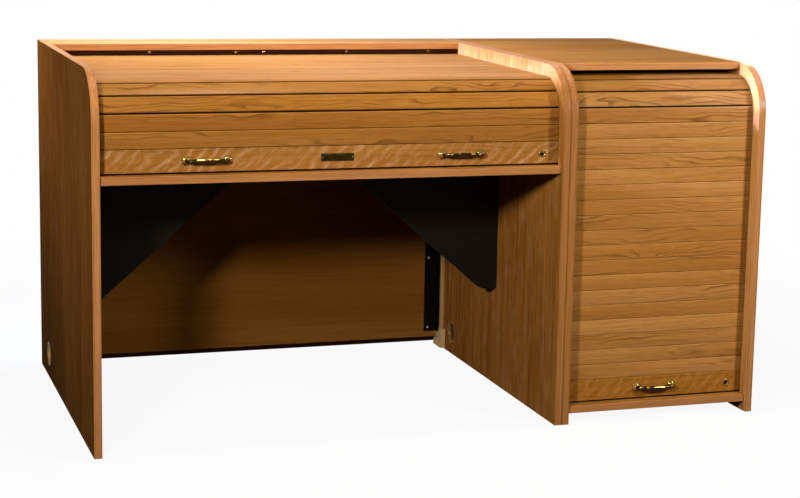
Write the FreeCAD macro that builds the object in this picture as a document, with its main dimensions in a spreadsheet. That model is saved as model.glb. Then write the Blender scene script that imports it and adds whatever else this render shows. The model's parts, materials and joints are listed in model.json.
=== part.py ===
"""Roll-top desk with a tambour-fronted side cabinet, as the separate pieces that it is made of.

Millimetres, +Z up, front towards -Y, origin on the floor under the middle of the whole piece of furniture.
"""
import FreeCAD, Part
import math
import os
import re

import Sketcher

Vector = FreeCAD.Vector

# Two spots closer than this are the same
SAME_SPOT = 1e-4

# Driving sizes, one sheet cell each
SIZES = {
    # Whole piece and its boards
    "height": 1025,
    "depth": 1092,
    "desk_width": 1332,
    "cabinet_width": 608,
    "panel_thickness": 22,
    "corner_radius": 140,
    "edge_ease": 1.5,
    "board_recess": 8,
    "desktop_top": 749,
    "desktop_thickness": 22,
    "top_board_thickness": 20,
    "rear_board_depth": 187,
    "cabinet_top_setback": 132,
    "cabinet_floor_top": 52,
    "cabinet_floor_thickness": 22,
    # Rear of the desk
    "valance_setback": 5,
    "valance_thickness": 12,
    "valance_height": 13,
    "well_depth": 60,
    "modesty_thickness": 16,
    "modesty_foot": 36,
    "modesty_rise": 15,
    "back_thickness": 12,
    "back_recess": 12,
    "back_foot": 9,
    "cleat_width": 12,
    "cleat_depth": 24,
    # Tambour curtains
    "curtain_inset": 36,
    "slat_thickness": 10,
    "slat_joint": 0.6,
    "slat_ease": 1.2,
    "desk_slat_pitch": 45.8,
    "cabinet_slat_pitch": 43.7,
    "slat_end_gap": 1.5,
    "tongue_width": 24,
    "tongue_thickness": 5,
    "tongue_length": 7.5,
    "groove_width": 8,
    "groove_depth": 8.5,
    "groove_foot": 20,
    "groove_tail": 60,
    "desk_tail_setback": 104,
    "cabinet_tail": 300,
    "canvas_thickness": 1,
    "canvas_margin": 30,
    # Lift rails
    "rail_height": 62,
    "rail_thickness": 19,
    "rail_rabbet": 14,
    "rail_tongue_height": 40,
    "seal_height": 4.7,
    "seal_gap": 0.3,
    "seal_setback": 4,
    "seal_thickness": 11,
    # Bow pulls
    "desk_pull_place": 309,
    "pull_centres": 112,
    "pull_bar_radius": 5.2,
    "pull_reach": 25,
    "pull_bend": 12,
    "pull_crown": 6,
    "pull_foot_radius": 13,
    "pull_foot_rim": 2.5,
    "pull_foot_step": 3,
    "pull_foot_height": 7,
    "pull_screw_radius": 2,
    "pull_screw_head_radius": 4,
    "pull_screw_head": 2.5,
    "pull_screw_bite": 6,
    # Plate on the desk's lift rail
    "plate_width": 92,
    "plate_height": 21,
    "plate_thickness": 1.5,
    "plate_corner": 2.5,
    "plate_pin_radius": 1.2,
    "plate_pin_head_radius": 2,
    "plate_pin_head": 0.8,
    "plate_pin_inset": 3.5,
    "plate_pin_length": 9,
    # Cylinder locks
    "lock_height": 32,
    "lock_from_panel": 49,
    "lock_barrel_radius": 9.5,
    "lock_rim_radius": 11,
    "lock_rim": 1.5,
    "lock_plug_radius": 6,
    "lock_play": 0.08,
    "lock_key_width": 1.4,
    "lock_key_height": 8,
    "lock_key_depth": 6,
    "lock_tail": 4,
    "cam_thickness": 2.5,
    "cam_width": 12,
    "cam_length": 40,
    "cam_gap": 0.4,
    "cam_bolt_radius": 5,
    "cam_play": 2,
    # Black gussets under the desktop
    "gusset_run": 523,
    "gusset_drop": 424,
    "gusset_tip": 54,
    "gusset_toe": 14,
    "gusset_round": 40,
    "gusset_thickness": 16,
    "gusset_setback": 500,
    # Black corner angles on the modesty panel
    "angle_leg": 45,
    "angle_return": 22,
    "angle_gauge": 3,
    "angle_foot": 55,
    "angle_length": 500,
    "angle_screw_start": 14,
    "angle_screw_edge": 13,
    # Foot blocks at the rear of the desk's panels
    "block_width": 16,
    "block_depth": 44,
    "block_height": 64,
    "block_lift": 4,
    "block_step": 30,
    # Wood screws
    "screw_radius": 2,
    "screw_head_radius": 4.5,
    "screw_head": 2.2,
    "screw_bite": 12,
    "screw_fit": 0.1,
    "cup_radius": 5.5,
    "cup_height": 1.6,
    # Cable holes
    "cable_from_rear": 181,
    "cable_height": 73,
    "cable_hole_radius": 32,
    "grommet_wall": 2.5,
    "grommet_rim_radius": 38,
    "grommet_rim": 3,
    "grommet_fit": 0.2,
    # Cabinet shelves and what carries them
    "lower_shelf_height": 345,
    "upper_shelf_height": 640,
    "shelf_thickness": 19,
    "shelf_setback": 72,
    "shelf_play": 1,
    "pin_radius": 2.5,
    "pin_depth": 9,
    "pin_reach": 10,
    "pin_setback": 60,
    # Bolts that hold the two units together
    "bolt_radius": 4,
    "bolt_head_radius": 8,
    "bolt_head": 2.5,
    "bolt_rise_share": 0.26,
    "bolt_front": 230,
    "bolt_pitch": 310,
}

# Places worked out from those sizes, written in the sheet's own names
PLACES = {
    "front": "-depth / 2",
    "rear": "depth / 2",
    "desk_left": "-(desk_width + cabinet_width) / 2",
    "desk_left_inner": "desk_left + panel_thickness",
    "seam": "desk_left + desk_width",
    "desk_right_inner": "seam - panel_thickness",
    "cabinet_left_inner": "seam + panel_thickness",
    "cabinet_right": "seam + cabinet_width",
    "cabinet_right_inner": "cabinet_right - panel_thickness",
    "board_front": "front + board_recess",
    "desktop_bottom": "desktop_top - desktop_thickness",
    "top_board_bottom": "height - top_board_thickness",
    "rear_board_front": "rear - rear_board_depth",
    "modesty_rear": "rear - well_depth",
    "modesty_front": "modesty_rear - modesty_thickness",
    "back_rear": "rear - back_recess",
    "back_front": "back_rear - back_thickness",
    "cleat_front": "modesty_front - cleat_depth",
    "curtain_face": "front + curtain_inset",
    "groove_inset": "curtain_inset + slat_thickness / 2",
    "groove_outer": "groove_inset - groove_width / 2",
    "groove_inner": "groove_inset + groove_width / 2",
    "corner_rise": "height - corner_radius",
    "rail_back": "curtain_face + rail_thickness",
    "rail_lift": "seal_height + seal_gap",
    "desk_rail_bottom": "desktop_top + rail_lift",
    "cabinet_rail_bottom": "cabinet_floor_top + rail_lift",
    "desk_pull_left": "desk_left + desk_pull_place",
    "desk_pull_right": "seam - desk_pull_place",
    "cabinet_middle": "seam + cabinet_width / 2",
    "desk_middle": "desk_left + desk_width / 2",
    "desk_lock_place": "desk_right_inner - lock_from_panel",
    "cabinet_lock_place": "cabinet_right_inner - lock_from_panel",
    "cable_y": "rear - cable_from_rear",
    "angle_screw_pitch": "(angle_length - 2 * angle_screw_start) / 2",
    "shelf_front": "front + shelf_setback",
    "shelf_rear": "back_front - shelf_play",
    "bolt_height": "desktop_top + (height - groove_inner - desktop_top) * bolt_rise_share",
}

doc = FreeCAD.newDocument("roll_top_desk")
sheet = doc.addObject("Spreadsheet::Sheet", "Sizes")
for row, (alias, size) in enumerate(SIZES.items(), start=1):
    sheet.set(f"A{row}", str(size))
    sheet.setAlias(f"A{row}", alias)
doc.recompute()

nodes = []


# Expressions

def linked(text):
    """The expression with each place written out and each size read from its cell."""
    def swap(word):
        name = word.group()
        if name in PLACES:
            return "(" + linked(PLACES[name]) + ")"
        return "Sizes." + name if name in SIZES else name
    return re.sub(r"[a-z][a-z_]*", swap, text)


def value(text):
    """The expression's present value, for shapes that are worked out here."""
    return float(sheet.evalExpression(linked(text)))


def bind(thing, **expressions):
    """Ties properties of an object to the sheet."""
    for name, text in expressions.items():
        thing.setExpression(name, linked(text))


def bind_base(thing, place):
    """Ties an object's position to the sheet."""
    for axis, text in zip("xyz", place):
        thing.setExpression("Placement.Base." + axis, linked(text))


def keep(label, thing):
    """Names an object as one of the finished pieces."""
    thing.Label = label
    nodes.append(thing)
    return thing


# Solids that several pieces are made of

def block(name, x, y, z):
    """A box between two places along each axis."""
    box = doc.addObject("Part::Box", name)
    bind_base(box, (x[0], y[0], z[0]))
    for side, (low, high) in zip(("Length", "Width", "Height"), (x, y, z)):
        bind(box, **{side: f"({high}) - ({low})"})
    return box


TURNS = {
    "+x": FreeCAD.Rotation(Vector(0, 1, 0), 90),
    "-x": FreeCAD.Rotation(Vector(0, 1, 0), -90),
    "+y": FreeCAD.Rotation(Vector(1, 0, 0), -90),
    "-y": FreeCAD.Rotation(Vector(1, 0, 0), 90),
}


def rod(name, way, radius, length, place):
    """A cylinder that starts at a place and runs one way."""
    cylinder = doc.addObject("Part::Cylinder", name)
    cylinder.Placement = FreeCAD.Placement(Vector(), TURNS[way])
    bind_base(cylinder, place)
    bind(cylinder, Radius=radius, Height=length)
    return cylinder


def group(name, pieces):
    """Separate solids held as one object."""
    compound = doc.addObject("Part::Compound", name)
    compound.Links = pieces
    return compound


def joined(name, pieces):
    """Solids joined into one."""
    fuse = doc.addObject("Part::MultiFuse", name)
    fuse.Shapes = pieces
    fuse.Refine = True
    return fuse


def cut(name, base, tools):
    """A solid less the tools."""
    result = doc.addObject("Part::Cut", name)
    result.Base = base
    result.Tool = tools[0] if len(tools) == 1 else group(name + "_tools", tools)
    return result


def shaped(name, shape):
    """A shape worked out by a formula."""
    thing = doc.addObject("Part::Feature", name)
    thing.Shape = shape
    return thing


def screw(name, way, place, head_radius, head, radius, bite):
    """A screw whose head stands on a place, with its shank running the given way."""
    axis = "xy".index(way[1])
    back = list(place)
    back[axis] = f"({place[axis]}) {'-' if way[0] == '+' else '+'} ({head})"
    top = rod(name + "_head", way, head_radius, head, back)
    shank = rod(name + "_shank", way, radius, bite, place)
    return joined(name, [top, shank])


def front_eased(name, base):
    """A board with its two front edges eased."""
    doc.recompute()
    eased = doc.addObject("Part::Fillet", name)
    eased.Base = base
    box = base.Shape.BoundBox
    ease = value("edge_ease")
    front = [index for index, edge in enumerate(base.Shape.Edges, start=1)
             if edge.BoundBox.YMax < box.YMin + ease and edge.BoundBox.XLength > ease]
    eased.Edges = [(index, ease, ease) for index in front]
    return eased


# Sketched bodies

def sketch_in(body, role, name):
    """A sketch on one of the body's own origin planes."""
    sketch = body.newObject("Sketcher::SketchObject", name)
    plane = next(feature for feature in body.Origin.OriginFeatures if feature.Role == role)
    sketch.AttachmentSupport = [(plane, "")]
    sketch.MapMode = "FlatFace"
    return sketch


def pin_down(sketch, geometry, point, texts):
    """Ties a point of a sketch to the sheet, measured from the sketch's origin."""
    for kind, axis, text in zip(("DistanceX", "DistanceY"), (-2, -1), texts):
        size = value(text)
        if size == 0:
            sketch.addConstraint(Sketcher.Constraint("PointOnObject", geometry, point, axis))
            continue
        index = sketch.addConstraint(Sketcher.Constraint(kind, -1, 1, geometry, point, size))
        sketch.setExpression(f"Constraints[{index}]", linked(text))


def outline(sketch, corners):
    """A closed outline whose corners are tied to the sheet.

    A corner is (x, y), or (x, y, centre x, centre y) where a round stretch leads on to the next corner.
    """
    spots = [Vector(value(corner[0]), value(corner[1]), 0) for corner in corners]
    ends = []
    for index, corner in enumerate(corners):
        start = spots[index]
        end = spots[(index + 1) % len(spots)]
        first, last = 1, 2
        edge = None
        if len(corner) == 2:
            edge = Part.LineSegment(start, end)
        else:
            centre = Vector(value(corner[2]), value(corner[3]), 0)
            pair = [start, end]
            if (start - centre).cross(end - centre).z < 0:
                first, last = 2, 1
                pair.reverse()
            angles = [math.atan2(spot.y - centre.y, spot.x - centre.x) for spot in pair]
            edge = Part.ArcOfCircle(Part.Circle(centre, Vector(0, 0, 1), (start - centre).Length), *angles)
        ends.append((sketch.addGeometry(edge, False), first, last))
    for index, (geometry, first, last) in enumerate(ends):
        following, next_first, _ = ends[(index + 1) % len(ends)]
        sketch.addConstraint(Sketcher.Constraint("Coincident", geometry, last, following, next_first))
    for (geometry, first, _), corner in zip(ends, corners):
        pin_down(sketch, geometry, first, corner[:2])
        if len(corner) > 2:
            centre_x = sketch.addConstraint(
                Sketcher.Constraint("DistanceX", -1, 1, geometry, 3, value(corner[2])))
            sketch.setExpression(f"Constraints[{centre_x}]", linked(corner[2]))


def padded(name, role, corners, length, place):
    """A body made of one outline pushed out to a length, and its pad."""
    body = doc.addObject("PartDesign::Body", name)
    bind_base(body, place)
    sketch = sketch_in(body, role, name + "_outline")
    outline(sketch, corners)
    pad = body.newObject("PartDesign::Pad", name + "_pad")
    pad.Profile = sketch
    bind(pad, Length=length)
    doc.recompute()
    return body, pad


def rounded(body, base, name, radius, wanted):
    """Rounds the edges of a body's last feature that a test picks out."""
    doc.recompute()
    edges = [f"Edge{index}" for index, edge in enumerate(base.Shape.Edges, start=1) if wanted(edge)]
    fillet = body.newObject("PartDesign::Fillet", name)
    fillet.Base = (base, edges)
    bind(fillet, Radius=radius)
    doc.recompute()
    return fillet


# Side panels, with the groove that the slats' tongues run in

PANEL_OUTLINE = [
    ("0", "0"),
    ("0", "corner_rise", "corner_radius", "corner_rise"),
    ("corner_radius", "height"),
    ("depth", "height"),
    ("depth", "0"),
]
DESK_GROOVE = [
    ("groove_outer", "desktop_top"),
    ("groove_outer", "corner_rise", "corner_radius", "corner_rise"),
    ("corner_radius", "height - groove_outer"),
    ("depth - corner_radius", "height - groove_outer", "depth - corner_radius", "corner_rise"),
    ("depth - groove_outer", "corner_rise"),
    ("depth - groove_outer", "groove_foot"),
    ("depth - groove_inner", "groove_foot"),
    ("depth - groove_inner", "corner_rise", "depth - corner_radius", "corner_rise"),
    ("depth - corner_radius", "height - groove_inner"),
    ("corner_radius", "height - groove_inner", "corner_radius", "corner_rise"),
    ("groove_inner", "corner_rise"),
    ("groove_inner", "desktop_top"),
]
CABINET_GROOVE = [
    ("groove_outer", "cabinet_floor_top"),
    ("groove_outer", "corner_rise", "corner_radius", "corner_rise"),
    ("corner_radius", "height - groove_outer"),
    ("depth - groove_tail", "height - groove_outer"),
    ("depth - groove_tail", "height - groove_inner"),
    ("corner_radius", "height - groove_inner", "corner_radius", "corner_rise"),
    ("groove_inner", "corner_rise"),
    ("groove_inner", "cabinet_floor_top"),
]


def side_panel(name, x, groove, groove_on_right):
    """A panel with its outer edges eased and a groove in one of its faces."""
    body, pad = padded(name, "YZ_Plane", PANEL_OUTLINE, "panel_thickness", (x, "front", "0"))
    touch = value("edge_ease")
    round_edges = rounded(body, pad, name + "_ease", "edge_ease",
                          lambda edge: edge.BoundBox.XLength < touch and edge.BoundBox.ZMax > touch)
    sketch = sketch_in(body, "YZ_Plane", name + "_groove_outline")
    if groove_on_right:
        sketch.setExpression("AttachmentOffset.Base.z", linked("panel_thickness"))
    outline(sketch, groove)
    pocket = body.newObject("PartDesign::Pocket", name + "_groove")
    pocket.Profile = sketch
    pocket.Reversed = not groove_on_right
    bind(pocket, Length="groove_depth")
    doc.recompute()
    if pocket.Shape.Volume >= round_edges.Shape.Volume:
        raise RuntimeError(f"the groove of {name} cut nothing")
    return body


def cable_place(x):
    """The middle of a cable hole, where it comes out of a panel. Both holes lie on one line."""
    return (x, "cable_y", "cable_height")


def grommet_seat(side, x):
    """The hole and the rim's recess that a cable grommet sits in."""
    place = cable_place(x)
    hole = rod(f"{side}_cable_hole", "+x", "cable_hole_radius", "panel_thickness", place)
    recess = rod(f"{side}_cable_recess", "+x", "grommet_rim_radius", "grommet_rim", place)
    return [hole, recess]


def grommet(side, x, length):
    """A flanged sleeve, flush with the panel's face."""
    label = f"{side}_cable_grommet"
    place = cable_place(x)
    sleeve = rod(label + "_sleeve", "+x", "cable_hole_radius - grommet_fit", length, place)
    rim = rod(label + "_rim", "+x", "grommet_rim_radius - grommet_fit", "grommet_rim", place)
    bore = rod(label + "_bore", "+x", "cable_hole_radius - grommet_wall", length, place)
    return keep(label, cut(label, joined(label + "_blank", [sleeve, rim]), [bore]))


def bolt_places():
    """Where the bolts that join the units stand, from front to rear."""
    return [(f"front + bolt_front + bolt_pitch * {count}", "bolt_height") for count in range(3)]


def bolt_holes(name):
    """Holes through both of the panels that stand side by side."""
    return [rod(f"{name}_bolt_hole_{count}", "+x", "bolt_radius + screw_fit", "2 * panel_thickness",
                ("desk_right_inner", y, z)) for count, (y, z) in enumerate(bolt_places())]


def shelf_pin_places():
    """Where the shelf pins stand: wall, way into the wall, y and z."""
    spots = []
    for shelf in ("lower_shelf_height", "upper_shelf_height"):
        under = f"{shelf} - shelf_thickness - pin_radius"
        for y in ("shelf_front + pin_setback", "shelf_rear - pin_setback"):
            spots.append(("cabinet_left_inner", "-x", y, under))
            spots.append(("cabinet_right_inner", "+x", y, under))
    return spots


def pin_holes(wall):
    """The holes of the shelf pins in one of the cabinet's panels."""
    return [rod(f"{wall}_pin_hole_{count}", way, "pin_radius + screw_fit", "pin_depth", (x, y, z))
            for count, (x, way, y, z) in enumerate(shelf_pin_places()) if x == wall]


def make_side_panels():
    desk_left = side_panel("desk_left_blank", "desk_left", DESK_GROOVE, True)
    keep("desk_left_panel", cut("desk_left_panel", desk_left, grommet_seat("left", "desk_left")))
    desk_right = side_panel("desk_right_blank", "desk_right_inner", DESK_GROOVE, False)
    keep("desk_right_panel", cut("desk_right_panel", desk_right,
                                 grommet_seat("right", "desk_right_inner") + bolt_holes("desk")))
    cabinet_left = side_panel("cabinet_left_blank", "seam", CABINET_GROOVE, True)
    cable_hole = rod("cabinet_cable_hole", "+x", "cable_hole_radius", "panel_thickness", cable_place("seam"))
    keep("cabinet_left_panel", cut("cabinet_left_panel", cabinet_left,
                                   [cable_hole] + bolt_holes("cabinet") + pin_holes("cabinet_left_inner")))
    cabinet_right = side_panel("cabinet_right_blank", "cabinet_right_inner", CABINET_GROOVE, False)
    keep("cabinet_right_panel", cut("cabinet_right_panel", cabinet_right, pin_holes("cabinet_right_inner")))
    grommet("left", "desk_left", "panel_thickness")
    grommet("right", "desk_right_inner", "2 * panel_thickness")


# Boards of the two units

DESK_SPAN = ("desk_left_inner", "desk_right_inner")
CABINET_SPAN = ("cabinet_left_inner", "cabinet_right_inner")


def cam_slot(name, lock_place, surface):
    """The mortise that a lock's cam swings down into, in the board that its rail closes on."""
    reach = "cam_length + cam_play"
    return block(name, (f"{lock_place} - ({reach})", f"{lock_place} + cam_width / 2 + cam_play"),
                 ("rail_back + cam_gap - cam_play", "rail_back + cam_gap + cam_thickness + cam_play"),
                 (f"{surface} + lock_height - ({reach})", f"{surface} + cam_play"))


def make_boards():
    desktop = front_eased("desktop_eased", block(
        "desktop_blank", DESK_SPAN, ("board_front", "modesty_front"), ("desktop_bottom", "desktop_top")))
    keep("desktop", cut("desktop", desktop, [cam_slot("desk_cam_slot", "desk_lock_place", "desktop_top")]))
    keep("desk_rear_board", front_eased("desk_rear_board", block(
        "rear_board_blank", DESK_SPAN, ("rear_board_front", "rear"), ("top_board_bottom", "height"))))
    keep("desk_back_panel", block("desk_back_panel", DESK_SPAN, ("back_front", "back_rear"),
                                  ("back_foot", "top_board_bottom")))
    keep("cabinet_top", front_eased("cabinet_top", block(
        "cabinet_top_blank", CABINET_SPAN, ("front + cabinet_top_setback", "rear"),
        ("top_board_bottom", "height"))))
    floor = front_eased("cabinet_floor_eased", block(
        "cabinet_floor_blank", CABINET_SPAN, ("board_front", "back_front"),
        ("cabinet_floor_top - cabinet_floor_thickness", "cabinet_floor_top")))
    keep("cabinet_floor", cut("cabinet_floor", floor, [
        cam_slot("cabinet_cam_slot", "cabinet_lock_place", "cabinet_floor_top")]))
    keep("cabinet_back", block("cabinet_back", CABINET_SPAN, ("back_front", "back_rear"),
                               ("cabinet_floor_top - cabinet_floor_thickness", "top_board_bottom")))


# Rear of the desk: valance, modesty panel and what fixes it

VALANCE_SCREW_SHARES = (0.227, 0.436, 0.504, 0.712, 0.923)


def make_valance():
    face = "rear_board_front + valance_setback"
    bottom = "top_board_bottom - valance_height"
    board = block("valance_blank", DESK_SPAN, (face, f"{face} + valance_thickness"),
                  (bottom, "top_board_bottom"))
    holes, screws = [], []
    for count, share in enumerate(VALANCE_SCREW_SHARES):
        place = (f"desk_left_inner + (desk_right_inner - desk_left_inner) * {share}", face,
                 "top_board_bottom - valance_height / 2")
        holes.append(rod(f"valance_hole_{count}", "+y", "screw_radius + screw_fit", "valance_thickness",
                         place))
        cup = rod(f"valance_cup_{count}", "-y", "cup_radius", "cup_height", place)
        shank = rod(f"valance_shank_{count}", "+y", "screw_radius", "valance_thickness", place)
        screws.append(joined(f"valance_screw_{count}", [cup, shank]))
    keep("rear_valance", cut("rear_valance", board, holes))
    keep("valance_screws", group("valance_screws", screws))


def make_modesty():
    sides = {"left": ("desk_left_inner", "+"), "right": ("desk_right_inner", "-")}
    holes, screws = [], []
    for side, (wall, inward) in sides.items():
        cleat_edge = f"{wall} {inward} cleat_width"
        cleat_x = (wall, cleat_edge) if side == "left" else (cleat_edge, wall)
        keep(f"{side}_rear_cleat", block(f"{side}_rear_cleat", cleat_x, ("cleat_front", "modesty_front"),
                                         ("block_lift + block_height", "desktop_bottom")))
        corner = f"{wall} {inward} block_width"
        leg_edge = f"{corner} {inward} angle_leg"
        return_edge = f"{corner} {inward} angle_gauge"
        leg_x = (corner, leg_edge) if side == "left" else (leg_edge, corner)
        return_x = (corner, return_edge) if side == "left" else (return_edge, corner)
        tall = ("angle_foot", "angle_foot + angle_length")
        leg = block(f"{side}_angle_leg", leg_x, ("modesty_front - angle_gauge", "modesty_front"), tall)
        turned = block(f"{side}_angle_return", return_x, ("modesty_front - angle_return", "modesty_front"),
                       tall)
        drills = []
        for count in range(3):
            place = (f"{corner} {inward} (angle_leg - angle_screw_edge)", "modesty_front - angle_gauge",
                     f"angle_foot + angle_screw_start + angle_screw_pitch * {count}")
            name = f"{side}_angle_screw_{count}"
            screws.append(screw(name, "+y", place, "screw_head_radius", "screw_head", "screw_radius",
                                "angle_gauge + screw_bite"))
            drills.append(rod(name + "_hole", "+y", "screw_radius + screw_fit", "angle_gauge + screw_bite",
                              place))
        holes += drills
        bent = joined(f"{side}_angle_blank", [leg, turned])
        keep(f"{side}_corner_angle", cut(f"{side}_corner_angle", bent, drills))
    panel = block("modesty_blank", DESK_SPAN, ("modesty_front", "modesty_rear"),
                  ("modesty_foot", "corner_rise + modesty_rise"))
    keep("modesty_panel", cut("modesty_panel", panel, holes))
    keep("corner_angle_screws", group("corner_angle_screws", screws))


def make_foot_blocks():
    """Blocks in front of the modesty panel's ends, each with a step that reaches back under the panel."""
    screws = []
    for side, wall, inward, way in (("left", "desk_left_inner", "+", "-x"),
                                    ("right", "desk_right_inner", "-", "+x")):
        edge = f"{wall} {inward} block_width"
        x = (wall, edge) if side == "left" else (edge, wall)
        stand = block(f"{side}_block_stand", x, ("modesty_front - block_depth", "modesty_front"),
                      ("block_lift", "block_lift + block_height"))
        step = block(f"{side}_block_step", x, ("modesty_front", "modesty_front + block_step"),
                     ("block_lift", "modesty_foot"))
        body = joined(f"{side}_block_blank", [stand, step])
        place = (edge, "modesty_front - block_depth / 2", "block_lift + block_height / 2")
        screws.append(screw(f"{side}_block_screw", way, place, "screw_head_radius", "screw_head",
                            "screw_radius", "block_width"))
        hole = rod(f"{side}_block_hole", way, "screw_radius + screw_fit", "block_width", place)
        keep(f"{side}_foot_block", cut(f"{side}_foot_block", body, [hole]))
    keep("foot_block_screws", group("foot_block_screws", screws))


def make_gussets():
    left = [("0", "0"), ("gusset_tip", "0"), ("gusset_run", "gusset_drop - gusset_toe"),
            ("gusset_run", "gusset_drop"), ("0", "gusset_drop")]
    right = [("gusset_run", "0"), ("gusset_run - gusset_tip", "0"), ("0", "gusset_drop - gusset_toe"),
             ("0", "gusset_drop"), ("gusset_run", "gusset_drop")]
    for label, corners, x in (("left_gusset", left, "desk_left_inner"),
                              ("right_gusset", right, "desk_right_inner - gusset_run")):
        place = (x, "front + gusset_setback + gusset_thickness", "desktop_bottom - gusset_drop")
        body, pad = padded(label, "XZ_Plane", corners, "gusset_thickness", place)
        tip = Vector(value(corners[1][0]), 0, 0)
        rounded(body, pad, label + "_round", "gusset_round",
                lambda edge, tip=tip: all((spot.Point - tip).cross(Vector(0, 1, 0)).Length < SAME_SPOT
                                          for spot in edge.Vertexes))
        keep(label, body)


# Tambour curtains: slats whose tongues follow the groove, and the canvas on their backs

def groove_pose(run):
    """The point on the groove's middle line, and the way that it leads there, in the YZ plane.

    The run is counted from where the corner starts: below zero on the upright stretch, then round the corner.
    """
    inset = value("groove_inset")
    corner = value("corner_radius")
    rise = value("corner_rise")
    front = value("front")
    bend = corner - inset
    if run < 0:
        return Vector(0, front + inset, rise + run), Vector(0, 0, 1)
    if run > bend * math.pi / 2:
        return (Vector(0, front + corner + run - bend * math.pi / 2, rise + bend), Vector(0, 1, 0))
    turn = run / bend
    spot = Vector(0, front + corner - bend * math.cos(turn), rise + bend * math.sin(turn))
    return spot, Vector(0, math.sin(turn), math.cos(turn))


def outward(along):
    """The way out of the curtain's face, for a stretch that leads the given way."""
    return Vector(0, -along.z, along.y)


def back_corner(run, width, end):
    """A slat's lower (-1) or upper (+1) back corner."""
    spot, along = groove_pose(run)
    return spot + along * (end * width / 2) - outward(along) * (value("slat_thickness") / 2)


def next_run(run, width, pitch):
    """How far along the next slat lies, so that the two all but touch at their backs."""
    _, along = groove_pose(run)
    top = back_corner(run, width, 1)
    low, high = run, run + 2 * pitch
    for _ in range(60):
        middle = (low + high) / 2
        _, other = groove_pose(middle)
        between = along + other
        between.normalize()
        if (back_corner(middle, width, -1) - top).dot(between) < value("slat_joint"):
            low = middle
        else:
            high = middle
    return high


def slat_runs(rail_bottom, pitch, tail):
    """The runs of all of a curtain's slats, from the rail to the tail."""
    width = value(pitch) - value("slat_joint")
    start = value(f"{rail_bottom} + rail_height") - value("corner_rise")
    runs = [start + value("slat_joint") + width / 2]
    while True:
        following = next_run(runs[-1], width, value(pitch))
        if back_corner(following, width, 1).y > value(tail):
            return runs, width
        runs.append(following)


def slat_shape(run, width, span):
    """One slat with its tongues, between two panels."""
    left, right = (value(place) for place in span)
    spot, along = groove_pose(run)
    out = outward(along)
    half, thick, ease = width / 2, value("slat_thickness") / 2, value("slat_ease")
    gap, reach = value("slat_end_gap"), value("tongue_length")

    def bar(corners, low, high):
        points = [spot + along * u + out * v + Vector(low, 0, 0) for u, v in corners]
        return Part.Face(Part.makePolygon(points + points[:1])).extrude(Vector(high - low, 0, 0))

    face = [(-half, -thick), (half, -thick), (half, thick - ease), (half - ease, thick),
            (ease - half, thick), (-half, thick - ease)]
    tongue_half, tongue_thick = value("tongue_width") / 2, value("tongue_thickness") / 2
    tongue = [(-tongue_half, -tongue_thick), (tongue_half, -tongue_thick),
              (tongue_half, tongue_thick), (-tongue_half, tongue_thick)]
    board = bar(face, left + gap, right - gap)
    ends = bar(tongue, left - reach, right + reach)
    return board.fuse(ends).removeSplitter()


def canvas_shape(points, span):
    """A strip of canvas that follows the slats' backs."""
    left, right = (value(place) for place in span)
    thick, margin = value("canvas_thickness"), value("canvas_margin")
    inner = []
    for index, point in enumerate(points):
        ways = [b - a for a, b in ((points[max(index - 1, 0)], point),
                                   (point, points[min(index + 1, len(points) - 1)])) if (b - a).Length > 0]
        for way in ways:
            way.normalize()
        mean = ways[0] + ways[-1]
        mean.normalize()
        inner.append(point - outward(mean) * (thick / mean.dot(ways[0])))
    ring = points + inner[::-1]
    shift = Vector(left + margin, 0, 0)
    ring = [spot + shift for spot in ring + ring[:1]]
    return Part.Face(Part.makePolygon(ring)).extrude(Vector(right - left - 2 * margin, 0, 0))


def backs(runs, width):
    """The line of the slats' backs, from the lowest corner to the last."""
    return [back_corner(run, width, end) for run in runs for end in (-1, 1)]


def make_curtains():
    runs, width = slat_runs("desk_rail_bottom", "desk_slat_pitch", "rear - desk_tail_setback")
    keep("desk_slats", shaped("desk_slats", Part.makeCompound(
        [slat_shape(run, width, DESK_SPAN) for run in runs])))
    rabbet = Vector(0, value("curtain_face + slat_thickness"),
                    value("desk_rail_bottom + rail_height - rail_rabbet"))
    keep("desk_canvas", shaped("desk_canvas", canvas_shape([rabbet] + backs(runs, width), DESK_SPAN)))

    runs, width = slat_runs("cabinet_rail_bottom", "cabinet_slat_pitch", "front + cabinet_tail")
    rise = value("corner_rise")
    lower = [run for run in runs if back_corner(run, width, 1).z <= rise and run < 0]
    upper = runs[len(lower):]
    keep("cabinet_front_slats", shaped("cabinet_front_slats", Part.makeCompound(
        [slat_shape(run, width, CABINET_SPAN) for run in lower])))
    keep("cabinet_upper_slats", shaped("cabinet_upper_slats", Part.makeCompound(
        [slat_shape(run, width, CABINET_SPAN) for run in upper])))
    for label, stretch in (("cabinet_front_canvas", lower), ("cabinet_upper_canvas", upper)):
        keep(label, shaped(label, canvas_shape(backs(stretch, width), CABINET_SPAN)))
    print("the cabinet's front slats end at z", backs(lower, width)[-1].z)


# Lift rails, their seals, pulls, plate and locks

RAIL_OUTLINE = [
    ("0", "0"),
    ("rail_thickness", "0"),
    ("rail_thickness", "rail_height - rail_rabbet"),
    ("slat_thickness", "rail_height - rail_rabbet"),
    ("slat_thickness", "rail_height"),
    ("0", "rail_height"),
]


def rail_blank(name, span, bottom):
    """A rail with a rabbet for the canvas along its top and its front edges eased."""
    place = (f"{span[0]} + slat_end_gap", "curtain_face", bottom)
    body, pad = padded(name, "YZ_Plane", RAIL_OUTLINE, f"{span[1]} - ({span[0]}) - 2 * slat_end_gap", place)
    touch = value("edge_ease")
    rounded(body, pad, name + "_ease", "edge_ease",
            lambda edge: edge.BoundBox.YMax < touch and edge.BoundBox.XLength > touch)
    return body


def pull_ends(middle, z):
    """The two places where a pull's feet stand on the rail's face."""
    return [(f"{middle} {side} pull_centres / 2", "curtain_face", z) for side in "-+"]


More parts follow.
